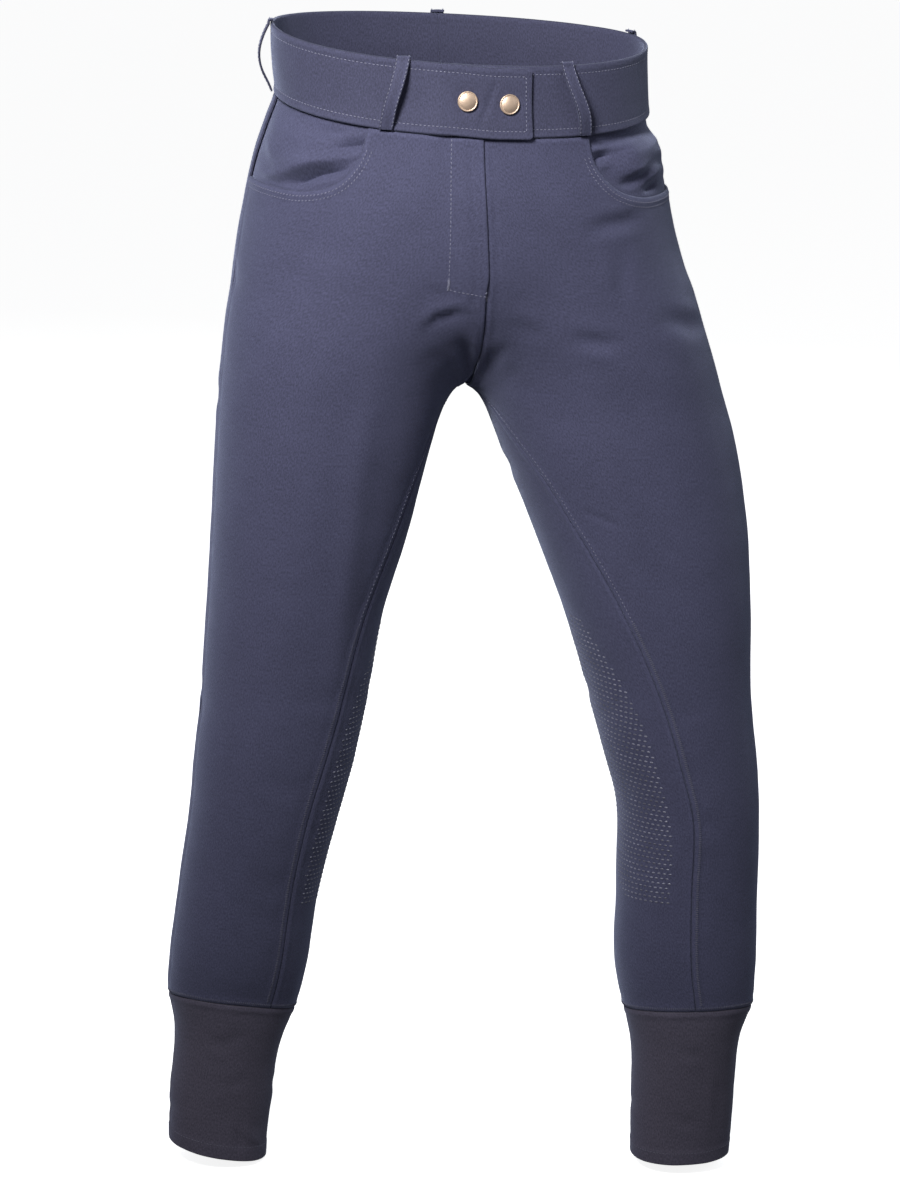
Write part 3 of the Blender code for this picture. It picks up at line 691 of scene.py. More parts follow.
def sew(kind, names, points, normals):
    """Keeps a row of stitches for later, laid on the named pieces."""
    RUNS.setdefault(kind, []).append((laid_on(names, points, normals), np.asarray(normals)))


def cloth(obj, node):
    """Hides the solid that the piece stands for, and attaches the piece to the root body."""
    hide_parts(node)
    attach(obj, "root")


def share_of_panel(side, panel, z, distance):
    """Points and normals on the plain form, at levels z and this far from the inner leg seam on a panel."""
    z = np.asarray(z, float)
    distance = np.broadcast_to(distance, z.shape)
    end = front_end(side, z) if panel == "front" else back_end(side, z)
    reach = np.linspace(0, 0.75, 120)
    grid = np.repeat(z[:, None], len(reach), 1)
    angles = end[:, None] * (1 - reach[None, :])
    points = surface(side, grid, angles)
    steps = np.linalg.norm(np.diff(points, axis=1), axis=-1)
    along = np.pad(np.cumsum(steps, 1), ((0, 0), (1, 0)))
    chosen = np.array([np.interp(d, row, angle) for d, row, angle in zip(distance, along, angles)])
    points = surface(side, z, chosen)
    return points, outward(z, points)


def panel_relief(name, points, normals, seam, run):
    """How far a leg panel's face stands off the plain form: folds, slow swells and its seams."""
    folded = fold_height(name, points, normals)
    return folded + softness(points, 34.0, 0.28) + softness(points, 13.0, 0.07) + seam_relief(seam, run)


def front_sheet(side):
    """A front panel's grid, whose top rows follow the pocket mouth, and each column's share across."""
    spread = np.concatenate([crowded_ends(PANEL_COLUMNS), np.linspace(0.5, MOUTH_END + 0.008, 34)])
    across = np.unique(np.round(spread, 4))
    across = across[np.concatenate([[True], np.diff(across) > 0.0006])]
    z = row_heights(across)
    top = pocket_mouth(across)
    kept = round(HIP_ROWS * 7 / 9)
    share = crowded(kept + 1, 0.05)[:, None]
    depth = -BAND_HALF - z[kept]
    drop = top + BAND_HALF
    power = np.clip(0.8 * depth / np.maximum(-drop, 1.0), 1, 6)
    z[: kept + 1] = -BAND_HALF - depth * share + drop * (1 - share) ** power
    angles = across[None, :] * front_end(side, z)
    points = surface(side, z, angles)
    return Sheet(points, outward(z, points), z, angles), across


def make_front(side, finish):
    """One front panel, with its fly edge, and the two rows of stitches round its pocket mouth."""
    name = "front_" + SIDE_NAMES[side]
    sheet, across = front_sheet(side)
    points, z = sheet.points, sheet.level
    flat = np.stack([points[..., 0], points[..., 2]], -1)
    mouth = across <= MOUTH_END
    top_line = flat[0]
    seam_top, _, _ = distance_to_path(flat[: HIP_ROWS // 2], top_line)
    from_top = np.full(z.shape, FAR)
    from_top[: HIP_ROWS // 2] = seam_top
    sides = np.minimum(sheet.from_start, sheet.from_end)
    seam = np.minimum(np.minimum(sides, sheet.from_bottom), from_top)
    along = np.where(sides < from_top, z, sheet.run)
    outer = panel_relief(name, points, sheet.normals, seam, along)
    inner = outer - CLOTH
    fly = smoothstep(z, FLY_END_Z - 4, FLY_END_Z + 4) * smoothstep(-sheet.from_end, -8, -4)
    outer = outer - rolled(seam) * (1 - 0.7 * fly)
    # Painted shadow: on the left front the edge distance is measured from the fly edge, so its finish paints
    # a dark line where the right front's overlapping edge casts shade.
    if side == LEFT:
        seam = np.where(fly > 0.5, np.abs(sheet.from_end - FLY_EDGE) * 0.8, seam)
    if side == RIGHT:
        over = smoothstep(z, FLY_END_Z - 50, FLY_END_Z - 20) * smoothstep(points[..., 0] - shift(z), -30, -9)
        outer, inner = outer + over * (CLOTH + GAP), inner + over * (CLOTH + GAP)
        drawn = smoothstep(-sheet.from_end, -14, 0) * smoothstep(z, FLY_END_Z, FLY_END_Z + 22)
        points[..., 0] += FLY_EDGE * drawn
    made = wall(name, sheet, outer, inner, finish, seam)
    cloth(made, name)
    edge, up = points[0][mouth], sheet.normals[0][mouth]
    for distance in POCKET_ROWS:
        beside, normals = offset_line(edge, up, distance)
        sew("pocket", [name], beside, normals)


def offset_line(points, normals, distance):
    """A line moved down the cloth, square to itself."""
    down = np.cross(eased(np.gradient(points, axis=0), 3), normals)
    down /= np.linalg.norm(down, axis=1, keepdims=True)
    if down[len(down) // 3, 2] > 0:
        down = -down
    moved = points + down * distance
    steps = np.linalg.norm(np.diff(moved, axis=0), axis=1)
    keep = np.concatenate([[True], steps > 0.05])
    return moved[keep][1:-1], normals[keep][1:-1]


def make_back(side, finish):
    """One back panel, which wraps round to the inner leg seam."""
    name = "back_" + SIDE_NAMES[side]
    across = crowded_ends(PANEL_COLUMNS + 22)
    z = row_heights(across)
    angles = across[None, :] * back_end(side, z)
    points = surface(side, z, angles)
    sheet = Sheet(points, outward(z, points), z, angles)
    sides = np.minimum(sheet.from_start, sheet.from_end)
    ends = np.minimum(sheet.from_top, sheet.from_bottom)
    seam = np.minimum(sides, ends)
    outer = panel_relief(name, points, sheet.normals, seam, np.where(sides < ends, z, sheet.run))
    made = wall(name, sheet, outer - rolled(seam), outer - CLOTH, finish, seam)
    cloth(made, name)


def make_facing(side, bulge, finish):
    """The slack cloth that fills a pocket's mouth, standing out by its bulge."""
    name = "pocket_facing_" + SIDE_NAMES[side]
    across = np.linspace(0, 0.68, 150)
    down = np.linspace(0, 1, 110)[:, None]
    z = FACING_TOP_Z + (FACING_END_Z - FACING_TOP_Z) * down + 0 * across[None, :]
    points = surface(side, z, across[None, :] * front_end(side, z))
    sheet = Sheet(points, outward(z, points), z)
    over, under = z - pocket_mouth(across), z + BAND_HALF
    slack = smoothstep(over, 7, 24) * (1 - smoothstep(under, -20, -5))
    slack = slack * smoothstep(across, 0.015, 0.2) * (1 - smoothstep(across, 0.4, 0.57))
    open_part = smoothstep(over, 1, 9) * (1 - smoothstep(under, -12, -2)) * smoothstep(across, 0.01, 0.1)
    outer = -FACING_UNDER + (FACING_UNDER + bulge) * slack
    relief = fold_height(name, points, sheet.normals) + softness(points, 17.0, 0.3)
    outer = outer + open_part * relief
    made = wall(name, sheet, outer, outer - CLOTH, finish, np.minimum(sheet.from_start, sheet.from_top + 3))
    cloth(made, name)


def make_cuff(side, finish):
    """One knitted tube, with a seam down its outer side and a turned-up hem."""
    name = "cuff_" + SIDE_NAMES[side]
    turns = 360 * crowded_ends(181, 0.7)[:-1]
    down = crowded_ends(64, 0.75)[:, None]
    z = CUFF_SEAM_Z + (HEM_Z - CUFF_SEAM_Z) * down + 0 * turns
    points = surface(side, z, turns[None, :] + 0 * z)
    sheet = Sheet(points, outward(z, points), z)
    whole = sheet.from_start[:, -1:] + np.linalg.norm(points[:, :1] - points[:, -1:], axis=-1)
    outseam = np.minimum(sheet.from_start, whole - sheet.from_start)
    relief = fold_height(name, points, sheet.normals)
    relief = relief + softness(points, 21.0, 0.3) + softness(points, 8.0, 0.07)
    relief = relief + seam_relief(sheet.from_top, sheet.run) - 0.8 * np.exp(-((outseam / 0.9) ** 2))
    relief = relief + 0.25 * np.exp(-(((outseam - 3.0) / 1.8) ** 2))
    turned_up = 0.45 * (1 - smoothstep(sheet.from_bottom, HEM_TURNED, HEM_TURNED + 1))
    outer = relief + turned_up - rolled(sheet.from_top, 1.4, 0.75) - rolled(sheet.from_bottom, 1.0, 0.5)
    seam = np.minimum(sheet.from_top, outseam)
    made = wall(name, sheet, outer, relief - CUFF_CLOTH, finish, seam, tube=True)
    cloth(made, name)
    row = np.argmin(np.abs(sheet.from_bottom[:, 0] - HEM_ROW))
    ring = np.concatenate([points[row], points[row, :1]])
    normals = np.concatenate([sheet.normals[row], sheet.normals[row, :1]])
    sew("hem", [name], ring, normals)


# ---------------------------------------------------------------- waist
RING_LEVELS = np.linspace(-36, 36, 19)
RING_PLACES = 720
RING_HALF = RING_PLACES // 2 + 1
BAND_OUTER = BAND_CLOTH / 2
OVERLAP = BAND_CLOTH + GAP
BACK_SEAM = GAP / 2
SEWN_EDGE = 1.2  # a band's end at the centre back keeps this much of its thickness


@functools.lru_cache
def waist_rings():
    """(length at the middle, points, normals) of the waist at each ring level, evenly spaced round it."""
    length, points, normals = 0.0, [], []
    for z in RING_LEVELS:
        rounds = []
        for side in (LEFT, RIGHT):
            level_z = np.full(RING_HALF, float(z))
            start, end = front_end(side, level_z)[0], back_end(side, level_z)[0]
            ring = surface(side, level_z, np.linspace(start, end, RING_HALF))
            rounds.append((ring, outward(level_z, ring)))
        ring = np.concatenate([rounds[0][0], rounds[1][0][::-1][1:]])
        upright = np.concatenate([rounds[0][1], rounds[1][1][::-1][1:]])
        along = np.concatenate([[0], np.cumsum(np.linalg.norm(np.diff(ring, axis=0), axis=1))])
        at = np.linspace(0, along[-1], RING_PLACES + 1)
        points.append(np.stack([np.interp(at, along, ring[:, k]) for k in range(3)], -1))
        normals.append(np.stack([np.interp(at, along, upright[:, k]) for k in range(3)], -1))
        if abs(z) < 1e-9:
            length = float(along[-1])
    return length, np.array(points), np.array(normals)


def waist_at(arcs, levels):
    """Points and normals of the waist at places along it and levels, given as arrays of one shape."""
    whole, points, normals = waist_rings()
    arcs, levels = np.broadcast_arrays(np.asarray(arcs, float), np.asarray(levels, float))
    at = np.mod(arcs / whole, 1.0) * RING_PLACES
    i = np.minimum(at.astype(int), RING_PLACES - 1)
    u = (at - i)[..., None]
    up = np.clip((levels - RING_LEVELS[0]) / (RING_LEVELS[1] - RING_LEVELS[0]), 0, len(RING_LEVELS) - 1.001)
    k = up.astype(int)
    v = (up - k)[..., None]
    found = []
    for table in (points, normals):
        low = table[k, i] * (1 - u) + table[k, i + 1] * u
        high = table[k + 1, i] * (1 - u) + table[k + 1, i + 1] * u
        found.append(low * (1 - v) + high * v)
    return found[0], found[1] / np.linalg.norm(found[1], axis=-1, keepdims=True)


def centre_back():
    """The place along the waist of its centre back."""
    whole, points, _ = waist_rings()
    ring = points[len(RING_LEVELS) // 2]
    behind = np.where(ring[:, 1] > 0)[0]
    return float(np.interp(0, -ring[behind, 0], behind)) / RING_PLACES * whole


def tab_fall(arcs):
    """How far the tab hangs below its seam, free of the trousers' front."""
    return -TAB_HANG * smoothstep(arcs, -24, 14)


def tab_lift(arcs):
    """How far the band's closing end stands out over the end under it."""
    return smoothstep(arcs, TAB_RISE_START, UNDERLAP_END - 3) * OVERLAP


def band_sheet(arcs, free_end):
    """The waistband's middle sheet, with the corners of its free end rounded."""
    levels = (1 - 2 * crowded_ends(34, 0.78))[:, None] * BAND_HALF
    arcs = np.broadcast_to(arcs[None, :], (len(levels), len(arcs)))
    corner = 4.5
    q = np.clip(1 - np.abs(arcs - free_end) / corner, 0, 1)
    half = BAND_HALF - corner * (1 - np.sqrt(np.maximum(1 - q**2, 0)))
    heights = levels * half / BAND_HALF
    points, normals = waist_at(arcs, heights)
    return Sheet(points, normals, heights), arcs


def band_relief(points, arcs, heights):
    """How far the waistband's face stands off its plain form: swells, its rows of stitches and creases."""
    relief = softness(points, 26.0, 0.22) + softness(points, 9.0, 0.06)
    edge = BAND_HALF - np.abs(heights)
    relief = relief - 0.28 * np.exp(-(((edge - BAND_ROW) / 1.1) ** 2))
    relief = relief + 0.12 * np.exp(-(((edge - BAND_ROW / 2) / 1.8) ** 2))
    for place in BAND_CREASES:
        off = (arcs - place - 0.12 * heights) / 3.6
        relief = relief - 0.5 * np.exp(-(off**2)) * smoothstep(heights, -20, 15)
    return relief


def thin_edges(half, distance):
    """Half a band's thickness, rounded off at its edges."""
    q = np.clip(1 - distance / half, 0, 1)
    return np.maximum(half * np.sqrt(np.maximum(1 - q**2, 0)), 0.3)


def make_right_band(back, whole, finish):
    """The waistband's right piece, from the centre back round to the end of the tab."""
    places = np.concatenate([
        back - whole + BACK_SEAM + (whole - back - 60) * crowded(150, 0.02)[:-1],
        np.linspace(-60, -12, 26)[:-1],
        -12 + (TAB_END + 12) * (1 - crowded(52, 0.05)[::-1]),
    ])
    sheet, arcs = band_sheet(places, TAB_END)
    heights = sheet.level
    relief = band_relief(sheet.points, arcs, heights)
    for place in SNAP_ARCS:
        radius = np.hypot(arcs - place, heights)
        relief = relief - 0.9 * np.exp(-(((radius - 7.5) / 2.8) ** 2))
    between = (arcs - sum(SNAP_ARCS) / 2 - 0.35 * heights) / 2.6
    relief = relief - 0.95 * np.exp(-(between**2)) * (1 - smoothstep(np.abs(heights), 8, 24))
    edge = BAND_HALF - np.abs(heights)
    half = thin_edges(BAND_OUTER, np.minimum(edge, np.minimum(sheet.from_start + SEWN_EDGE, sheet.from_end)))
    sheet.points[..., 2] += tab_fall(arcs)
    lift = tab_lift(arcs)
    made = wall("waistband_right", sheet, lift + relief * 0.8 + half, lift - half, finish, edge)
    cloth(made, "waistband_right")


def make_left_band(back, finish):
    """The waistband's left piece, from the end under the tab round to the centre back."""
    places = np.concatenate([
        UNDERLAP_END + 24 * crowded(30, 0.1)[:-1],
        np.linspace(UNDERLAP_END + 24, 80, 44)[:-1],
        80 + (back - BACK_SEAM - 80) * (1 - crowded(130, 0.02)[::-1]),
    ])
    sheet, arcs = band_sheet(places, UNDERLAP_END)
    heights = sheet.level
    covered = 1 - smoothstep(arcs, TAB_END + 1, TAB_END + 9)
    relief = band_relief(sheet.points, arcs, heights) * (1 - covered)
    edge = BAND_HALF - np.abs(heights)
    half = thin_edges(BAND_OUTER, np.minimum(edge, np.minimum(sheet.from_start, sheet.from_end + SEWN_EDGE)))
    made = wall("waistband_left", sheet, relief * 0.8 + half, -half, finish, edge)
    cloth(made, "waistband_left")


def make_bands(finish):
    """Both pieces of the waistband, and the rows of stitches along their edges and round the tab."""
    back, whole = centre_back(), waist_rings()[0]
    make_right_band(back, whole, finish)
    make_left_band(back, finish)
    row = BAND_HALF - BAND_ROW
    end = TAB_END - 5.0
    along = np.linspace(back - whole + 3, end, 240)
    tab = [(end, height) for height in np.linspace(row, -row, 24)[1:-1]]
    line = np.array([(place, row) for place in along] + tab + [(place, -row) for place in along[::-1]])
    points, normals = waist_at(line[:, 0], line[:, 1])
    points[:, 2] += tab_fall(line[:, 0])
    sew("band", ["waistband_right"], points + normals * tab_lift(line[:, 0])[:, None], normals)
    along = np.linspace(TAB_END + 1.5, back - 3, 240)
    for height in (row, -row):
        points, normals = waist_at(along, height)
        sew("band", ["waistband_left"], points, normals)


def loop_profile(bulge):
    """The belt loop's line seen from its side, as (out, up) points from the lower seam over the top edge."""
    seat = BAND_OUTER + GAP + LOOP_CLOTH
    top = BAND_HALF + GAP + LOOP_CLOTH + 0.7
    rise = np.linspace(0, 1, 44)
    stand = seat + bulge * np.sin(math.pi * rise) ** 0.9
    line = np.stack([stand, -BAND_HALF + 0.4 + (2 * BAND_HALF - 1.4) * rise], 1)
    bend = 2.2
    turn = np.radians(np.linspace(0, 90, 9))
    arc = np.stack([seat - bend + bend * np.cos(turn), top - bend + bend * np.sin(turn)], 1)
    return np.concatenate([line, arc, [(0.4, top), (-0.6, top)]])


def make_loop(name, arc, bulge, top_lean, sway, finish):
    """One belt loop, with a row of stitches along each edge."""
    arc = centre_back() if arc is None else arc
    profile = loop_profile(bulge)
    steps = np.gradient(profile, axis=0)
    steps /= np.linalg.norm(steps, axis=1, keepdims=True)
    away = np.stack([steps[:, 1], -steps[:, 0]], 1)
    height = profile[:, 1]
    inside = np.clip(height, -BAND_HALF, BAND_HALF)
    share = inside / BAND_HALF
    places = arc + top_lean * share + sway * np.sin(math.pi * share)
    middle, outwards = waist_at(places, inside)
    outwards = np.broadcast_to(outwards.mean(0), outwards.shape)
    up = np.array([0.0, 0.0, 1.0])
    centre = middle + up * (height - inside)[:, None] + outwards * profile[:, :1]
    along = np.cross(up, outwards.mean(0))
    along /= np.linalg.norm(along)
    columns = (crowded_ends(17, 0.7) - 0.5) * (LOOP_WIDTH - 0.2)
    points = centre[:, None, :] + along * columns[None, :, None]
    normals = outwards[:, None, :] * away[:, None, :1] + up * away[:, None, 1:]
    normals = np.broadcast_to(normals, points.shape)
    sheet = Sheet(points, normals, height[:, None] + 0 * columns)
    half = LOOP_CLOTH / 2
    edge = LOOP_WIDTH / 2 - np.abs(columns)[None, :] + 0 * height[:, None]
    thick = thin_edges(half, edge)
    groove = 0.2 * np.exp(-(((edge - 2.2) / 0.7) ** 2))
    made = wall(name, sheet, thick - half - groove, -thick - half, finish, edge)
    cloth(made, name)
    for place in (3, 13):
        sew("loops", [name], points[2:-4, place], sheet.normals[2:-4, place])


# A stud's cap as (out, up) points from its middle over a groove and a rolled rim to its foot.
SNAP_PROFILE = (
    (0.0, 2.95), (1.6, 2.9), (3.1, 2.72), (4.5, 2.38), (5.5, 2.0), (6.15, 1.68), (6.45, 1.52), (6.7, 1.62),
    (7.0, 1.84), (7.3, 1.82), (7.6, 1.5), (7.78, 1.0), (7.7, 0.4), (7.3, 0.0), (0.0, 0.0),
)
SNAP_SIDES = 56


def make_snap(name, arc, finish):
    """One stud's cap, turned from its profile and pressed into the tab."""
    points, normals = waist_at(np.array([arc]), np.array([0.0]))
    axis = normals[0]
    pressed_in = 0.05
    foot = points[0] + axis * (BAND_OUTER + OVERLAP - pressed_in) + np.array([0, 0, float(tab_fall(arc))])
    across = np.cross(axis, [0, 0, 1.0])
    across /= np.linalg.norm(across)
    upright = np.cross(across, axis)
    rings = np.array(SNAP_PROFILE[1:-1])
    turns = np.radians(np.arange(SNAP_SIDES) * 360 / SNAP_SIDES)
    circle = np.cos(turns)[:, None] * across + np.sin(turns)[:, None] * upright
    vertices = foot + rings[:, None, :1] * circle[None] + axis * rings[:, None, 1:]
    vertices = np.concatenate([vertices.reshape(-1, 3), [foot + axis * SNAP_PROFILE[0][1]], [foot]])
    count = len(rings) * SNAP_SIDES
    faces = []
    for i in range(len(rings) - 1):
        for j in range(SNAP_SIDES):
            k = (j + 1) % SNAP_SIDES
            a, b = i * SNAP_SIDES, (i + 1) * SNAP_SIDES
            faces.append((a + j, a + k, b + k, b + j))
    for j in range(SNAP_SIDES):
        k = (j + 1) % SNAP_SIDES
        faces.append((count, k, j))
        faces.append((count + 1, count - SNAP_SIDES + j, count - SNAP_SIDES + k))
    mesh = bpy.data.meshes.new(name)
    mesh.from_pydata((vertices * MM).tolist(), [], faces)
    turn_outwards(mesh)
    mesh.shade_smooth()
    mesh.set_sharp_from_angle(angle=math.radians(50))
    mesh.materials.append(finish)
    made = placed(name + "_cap", mesh)
    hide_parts(name)
    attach(made, "root")


def make_zip(finish):
    """The closed zip's tape behind the fly, with its coil on the inner face."""
    z = np.linspace(-29, FLY_END_Z + 4, 60)[:, None]
    strips, facing = [], []
    for side, shares in ((RIGHT, np.linspace(0.90, 0.999, 12)), (LEFT, np.linspace(0.999, 0.952, 8)[1:])):
        grid = z + 0 * shares[None, :]
        points = surface(side, grid, shares[None, :] * front_end(side, grid))
        strips.append(points)
        facing.append(outward(grid, points))
    points, normals = np.concatenate(strips, 1), np.concatenate(facing, 1)
    sheet = Sheet(points, normals, z + 0 * points[..., 0])
    top = -CLOTH - GAP - 0.25
    made = wall("fly_zip", sheet, top, top - 1.1, finish)
    cloth(made, "fly_zip")
    middle, upright = points[2:-3, 11], normals[2:-3, 11]
    RUNS.setdefault("coil", []).append((middle + upright * (top - 1.5), upright))


# ---------------------------------------------------------------- stitches, coil and grip
def stitch_row_tree():
    """A Geometry Nodes tree that lays one rounded stitch at every pitch along each line of a mesh."""
    tree = bpy.data.node_groups.get("row of stitches")
    if tree:
        return tree
    tree = bpy.data.node_groups.new("row of stitches", "GeometryNodeTree")
    tree.interface.new_socket("Geometry", in_out="INPUT", socket_type="NodeSocketGeometry")
    for name in ("Length", "Pitch", "Width", "Rise", "Turn"):
        tree.interface.new_socket(name, in_out="INPUT", socket_type="NodeSocketFloat")
    tree.interface.new_socket("Sides", in_out="INPUT", socket_type="NodeSocketInt")
    tree.interface.new_socket("Finish", in_out="INPUT", socket_type="NodeSocketMaterial")
    tree.interface.new_socket("Geometry", in_out="OUTPUT", socket_type="NodeSocketGeometry")
    given = tree.nodes.new("NodeGroupInput")
    result = tree.nodes.new("NodeGroupOutput")

    def node(kind, chosen=None, **links):
        made = tree.nodes.new(kind)
        for key, value in (chosen or {}).items():
            setattr(made, key, value)
        for key, value in links.items():
            socket = made.inputs[key.replace("_", " ")]
            if isinstance(value, bpy.types.NodeSocket):
                tree.links.new(value, socket)
            else:
                socket.default_value = value
        return made.outputs[0]

    line = node("GeometryNodeMeshToCurve", Mesh=given.outputs["Geometry"])
    places = node("GeometryNodeResampleCurve", {"mode": "LENGTH"}, Curve=line, Length=given.outputs["Pitch"])
    tangent = node("GeometryNodeInputTangent")
    upright = node("GeometryNodeInputNamedAttribute", {"data_type": "FLOAT_VECTOR"}, Name="upright")
    way = node("ShaderNodeVectorRotate", Vector=tangent, Axis=upright, Angle=given.outputs["Turn"])
    along = node("FunctionNodeAlignRotationToVector", {"axis": "X"}, Vector=way)
    kept = {"axis": "Z", "pivot_axis": "X"}
    stood = node("FunctionNodeAlignRotationToVector", kept, Rotation=along, Vector=upright)
    length, width, rise = (given.outputs[name] for name in ("Length", "Width", "Rise"))
    size = node("ShaderNodeCombineXYZ", X=length, Y=width, Z=rise)
    bead = node("GeometryNodeMeshUVSphere", Segments=given.outputs["Sides"], Rings=4, Radius=0.5)
    smooth = node("GeometryNodeSetShadeSmooth", Geometry=bead)
    laid = node("GeometryNodeInstanceOnPoints", Points=places, Instance=smooth, Rotation=stood, Scale=size)
    real = node("GeometryNodeRealizeInstances", Geometry=laid)
    finished = node("GeometryNodeSetMaterial", Geometry=real, Material=given.outputs["Finish"])
    tree.links.new(finished, result.inputs["Geometry"])
    return tree


ACROSS, SLANTED = math.pi / 2, 0.35  # how far a stitch is turned from its row


def sewn(name, kinds, finish, length, pitch, width, rise, turn=0.0, sides=6):
    """One plain mesh of every stitch of these kinds. Sizes are in millimetres and the turn is in radians."""
    runs = [run for kind in kinds for run in RUNS.get(kind, ())]
    if not runs:
        raise RuntimeError(f"{name}: its rows are marked by the cloth pieces, so those are made first")
    points = np.concatenate([run[0] for run in runs])
    upright = np.concatenate([run[1] for run in runs])
    edges, first = [], 0
    for run in runs:
        count = len(run[0])
        edges += [(first + k, first + k + 1) for k in range(count - 1)]
        first += count
    mesh = bpy.data.meshes.new(name)
    mesh.from_pydata((points * MM).tolist(), edges, [])
    stood = mesh.attributes.new("upright", "FLOAT_VECTOR", "POINT")
    stood.data.foreach_set("vector", upright.astype(np.float32).ravel())
    guide = placed(name + "_guide", mesh)
    tree = stitch_row_tree()
    modifier = guide.modifiers.new("stitches", "NODES")
    modifier.node_group = tree
    given = {"Length": length * MM, "Pitch": pitch * MM, "Width": width * MM, "Rise": rise * MM}
    given.update({"Turn": float(turn), "Sides": sides, "Finish": finish})
    for item in tree.interface.items_tree:
        if item.in_out == "INPUT" and item.name in given:
            modifier[item.identifier] = given[item.name]
    bpy.context.view_layer.update()
    graph = bpy.context.evaluated_depsgraph_get()
    plain = bpy.data.meshes.new_from_object(guide.evaluated_get(graph))
    plain.name = name
    bpy.data.objects.remove(guide)
    if not plain.polygons:
        raise RuntimeError(f"{name}: no stitches were laid")
    made = placed(name, plain)
    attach(made, "root")


FRONT_REACH = 400.0  # well in front of the cloth


def flat_line(path):
    """A line of (x, z) places, filled in at even steps."""
    path = np.array(path, float)
    along = np.concatenate([[0], np.cumsum(np.linalg.norm(np.diff(path, axis=0), axis=1))])
    at = np.linspace(0, along[-1], max(3, int(along[-1] / ROW_STEP) + 1))
    return np.stack([np.interp(at, along, path[:, k]) for k in (0, 1)], -1)


def on_front(names, path):
    """A line of (x, z) places pressed straight back on to the named pieces, with the cloth's own normals."""
    points, normals = [], []
    for x, z in flat_line(path):
        best, found = math.inf, None
        for name in names:
            start, back = Vector((x, -FRONT_REACH, z)), Vector((0, 1, 0))
            place, normal, _, distance = MADE[name].ray_cast(start, back, 2 * FRONT_REACH)
            if place is not None and distance < best:
                best, found = distance, (np.array(place), np.array(normal))
        if found is None:
            continue
        normal = found[1] if found[1][1] < 0 else -found[1]
        points.append(found[0])
        normals.append(normal)
    return np.array(points), eased(np.array(normals), 4)


# The fly's stitches and their tacks, as (across, up) places seen from the front.
FLY_STITCH = ((-22, -40), (-23.2, -80), (-23.5, -157.5), (-22, -159.4), (5, -164.6))
FLY_TACKS = (((-23.5, -151), (-23.4, -159.4)), ((6.0, -161.4), (6.6, -168.4)))
# How far the knee grip's front edge lies from the inner leg seam, as (level, distance).
GRIP_FRONT = {
    RIGHT: ((-455, 34), (-476, 25), (-523, 15), (-560, 13), (-600, 14), (-640, 13), (-690, 14)),
    LEFT: ((-440, 52), (-455, 45), (-490, 31), (-518, 25), (-600, 21), (-668, 19), (-690, 20)),
}
# How far its rear edge lies from that seam.
GRIP_BACK = ((-440, 60), (-456, 86), (-480, 98), (-560, 102), (-630, 96), (-668, 84), (-690, 62))
GRIP_TOP, GRIP_BOTTOM, GRIP_ROW = -444.0, -688.0, 4.5
GRIP_LEAST = 9.0  # a shorter row is left out
GRIP_STEP = 2.5
SEAT_ROW = 0.982  # how far round a back its stitches beside the centre seam lie


def mark_seams():
    """Marks the rows of stitches that follow seams between finished pieces."""
    fronts = ["front_right", "front_left"]
    RUNS["fly"] = [on_front(fronts, FLY_STITCH)]
    RUNS["tack"] = [on_front(fronts, tack) for tack in FLY_TACKS]
    for side in (RIGHT, LEFT):
        names = ["front_" + SIDE_NAMES[side], "back_" + SIDE_NAMES[side]]
        for kind, top, end in (("ladder", KNEE_Z, INSEAM_END_Z), ("inseam", INSEAM_TOP_Z, KNEE_Z)):
            sew(kind, names, *share_of_panel(side, "front", np.arange(top, end, -ROW_STEP), SEAM_ROW))
        turns = np.linspace(0, 360, 181)
        z = np.full(turns.shape, CUFF_SEAM_Z + CUFF_ROW)
        points = surface(side, z, turns)
        sew("cuff", names, points, outward(z, points))
        z = np.arange(-BAND_HALF - 6, CROTCH_Z + 24, -ROW_STEP)
        points = surface(side, z, back_end(side, z) * SEAT_ROW)
        sew("seat", names, points, outward(z, points))


def mark_grip(side):
    """Marks staggered rows of grip dashes behind the inner leg seam, from the knee to the calf."""
    rows = np.arange(GRIP_TOP, GRIP_BOTTOM, -GRIP_ROW)
    front, behind = np.array(GRIP_FRONT[side]), np.array(GRIP_BACK)
    for number, z in enumerate(rows):
        start = hermite(np.array([z]), front[:, 0], front[:, 1])[0]
        end = hermite(np.array([z]), behind[:, 0], behind[:, 1])[0]
        start += (number % 2) * GRIP_ROW / 2
        if end - start < GRIP_LEAST:
            continue
        at = np.arange(start, end, GRIP_STEP)
        points, normals = share_of_panel(side, "back", np.full(at.shape, z), at)
        sew("grip_" + SIDE_NAMES[side], ["back_" + SIDE_NAMES[side]], points, normals)


# ---------------------------------------------------------------- finishes
class Reading:
    """A number that a finish reads at each point of a surface; arithmetic on it adds Math nodes."""

    def __init__(self, finish, socket):
        self.finish = finish
        self.socket = socket

    def maths(self, operation, *values):
        return self.finish.number("ShaderNodeMath", {"operation": operation}, dict(enumerate(values)))

    def __add__(self, other):
        return self.maths("ADD", self, other)

    def __radd__(self, other):
        return self.maths("ADD", other, self)

    def __sub__(self, other):
        return self.maths("SUBTRACT", self, other)

    def __rsub__(self, other):
        return self.maths("SUBTRACT", other, self)

    def __mul__(self, other):
        return self.maths("MULTIPLY", self, other)

    def __rmul__(self, other):
        return self.maths("MULTIPLY", other, self)

    def __truediv__(self, other):
        return self.maths("DIVIDE", self, other)

    def sine(self):
        return self.maths("SINE", self)

    def bell(self, middle, width):
        """1 at the middle, falling to 0 a few widths away."""
        off = (self - middle) / width
        return self.maths("EXPONENT", 0 - off * off)

    def within(self, low, high):
        """0 at low, rising to 1 at high."""
        kept = {"interpolation_type": "SMOOTHSTEP"}
        values = {"Value": self, "From Min": low, "From Max": high}
        return self.finish.number("ShaderNodeMapRange", kept, values)


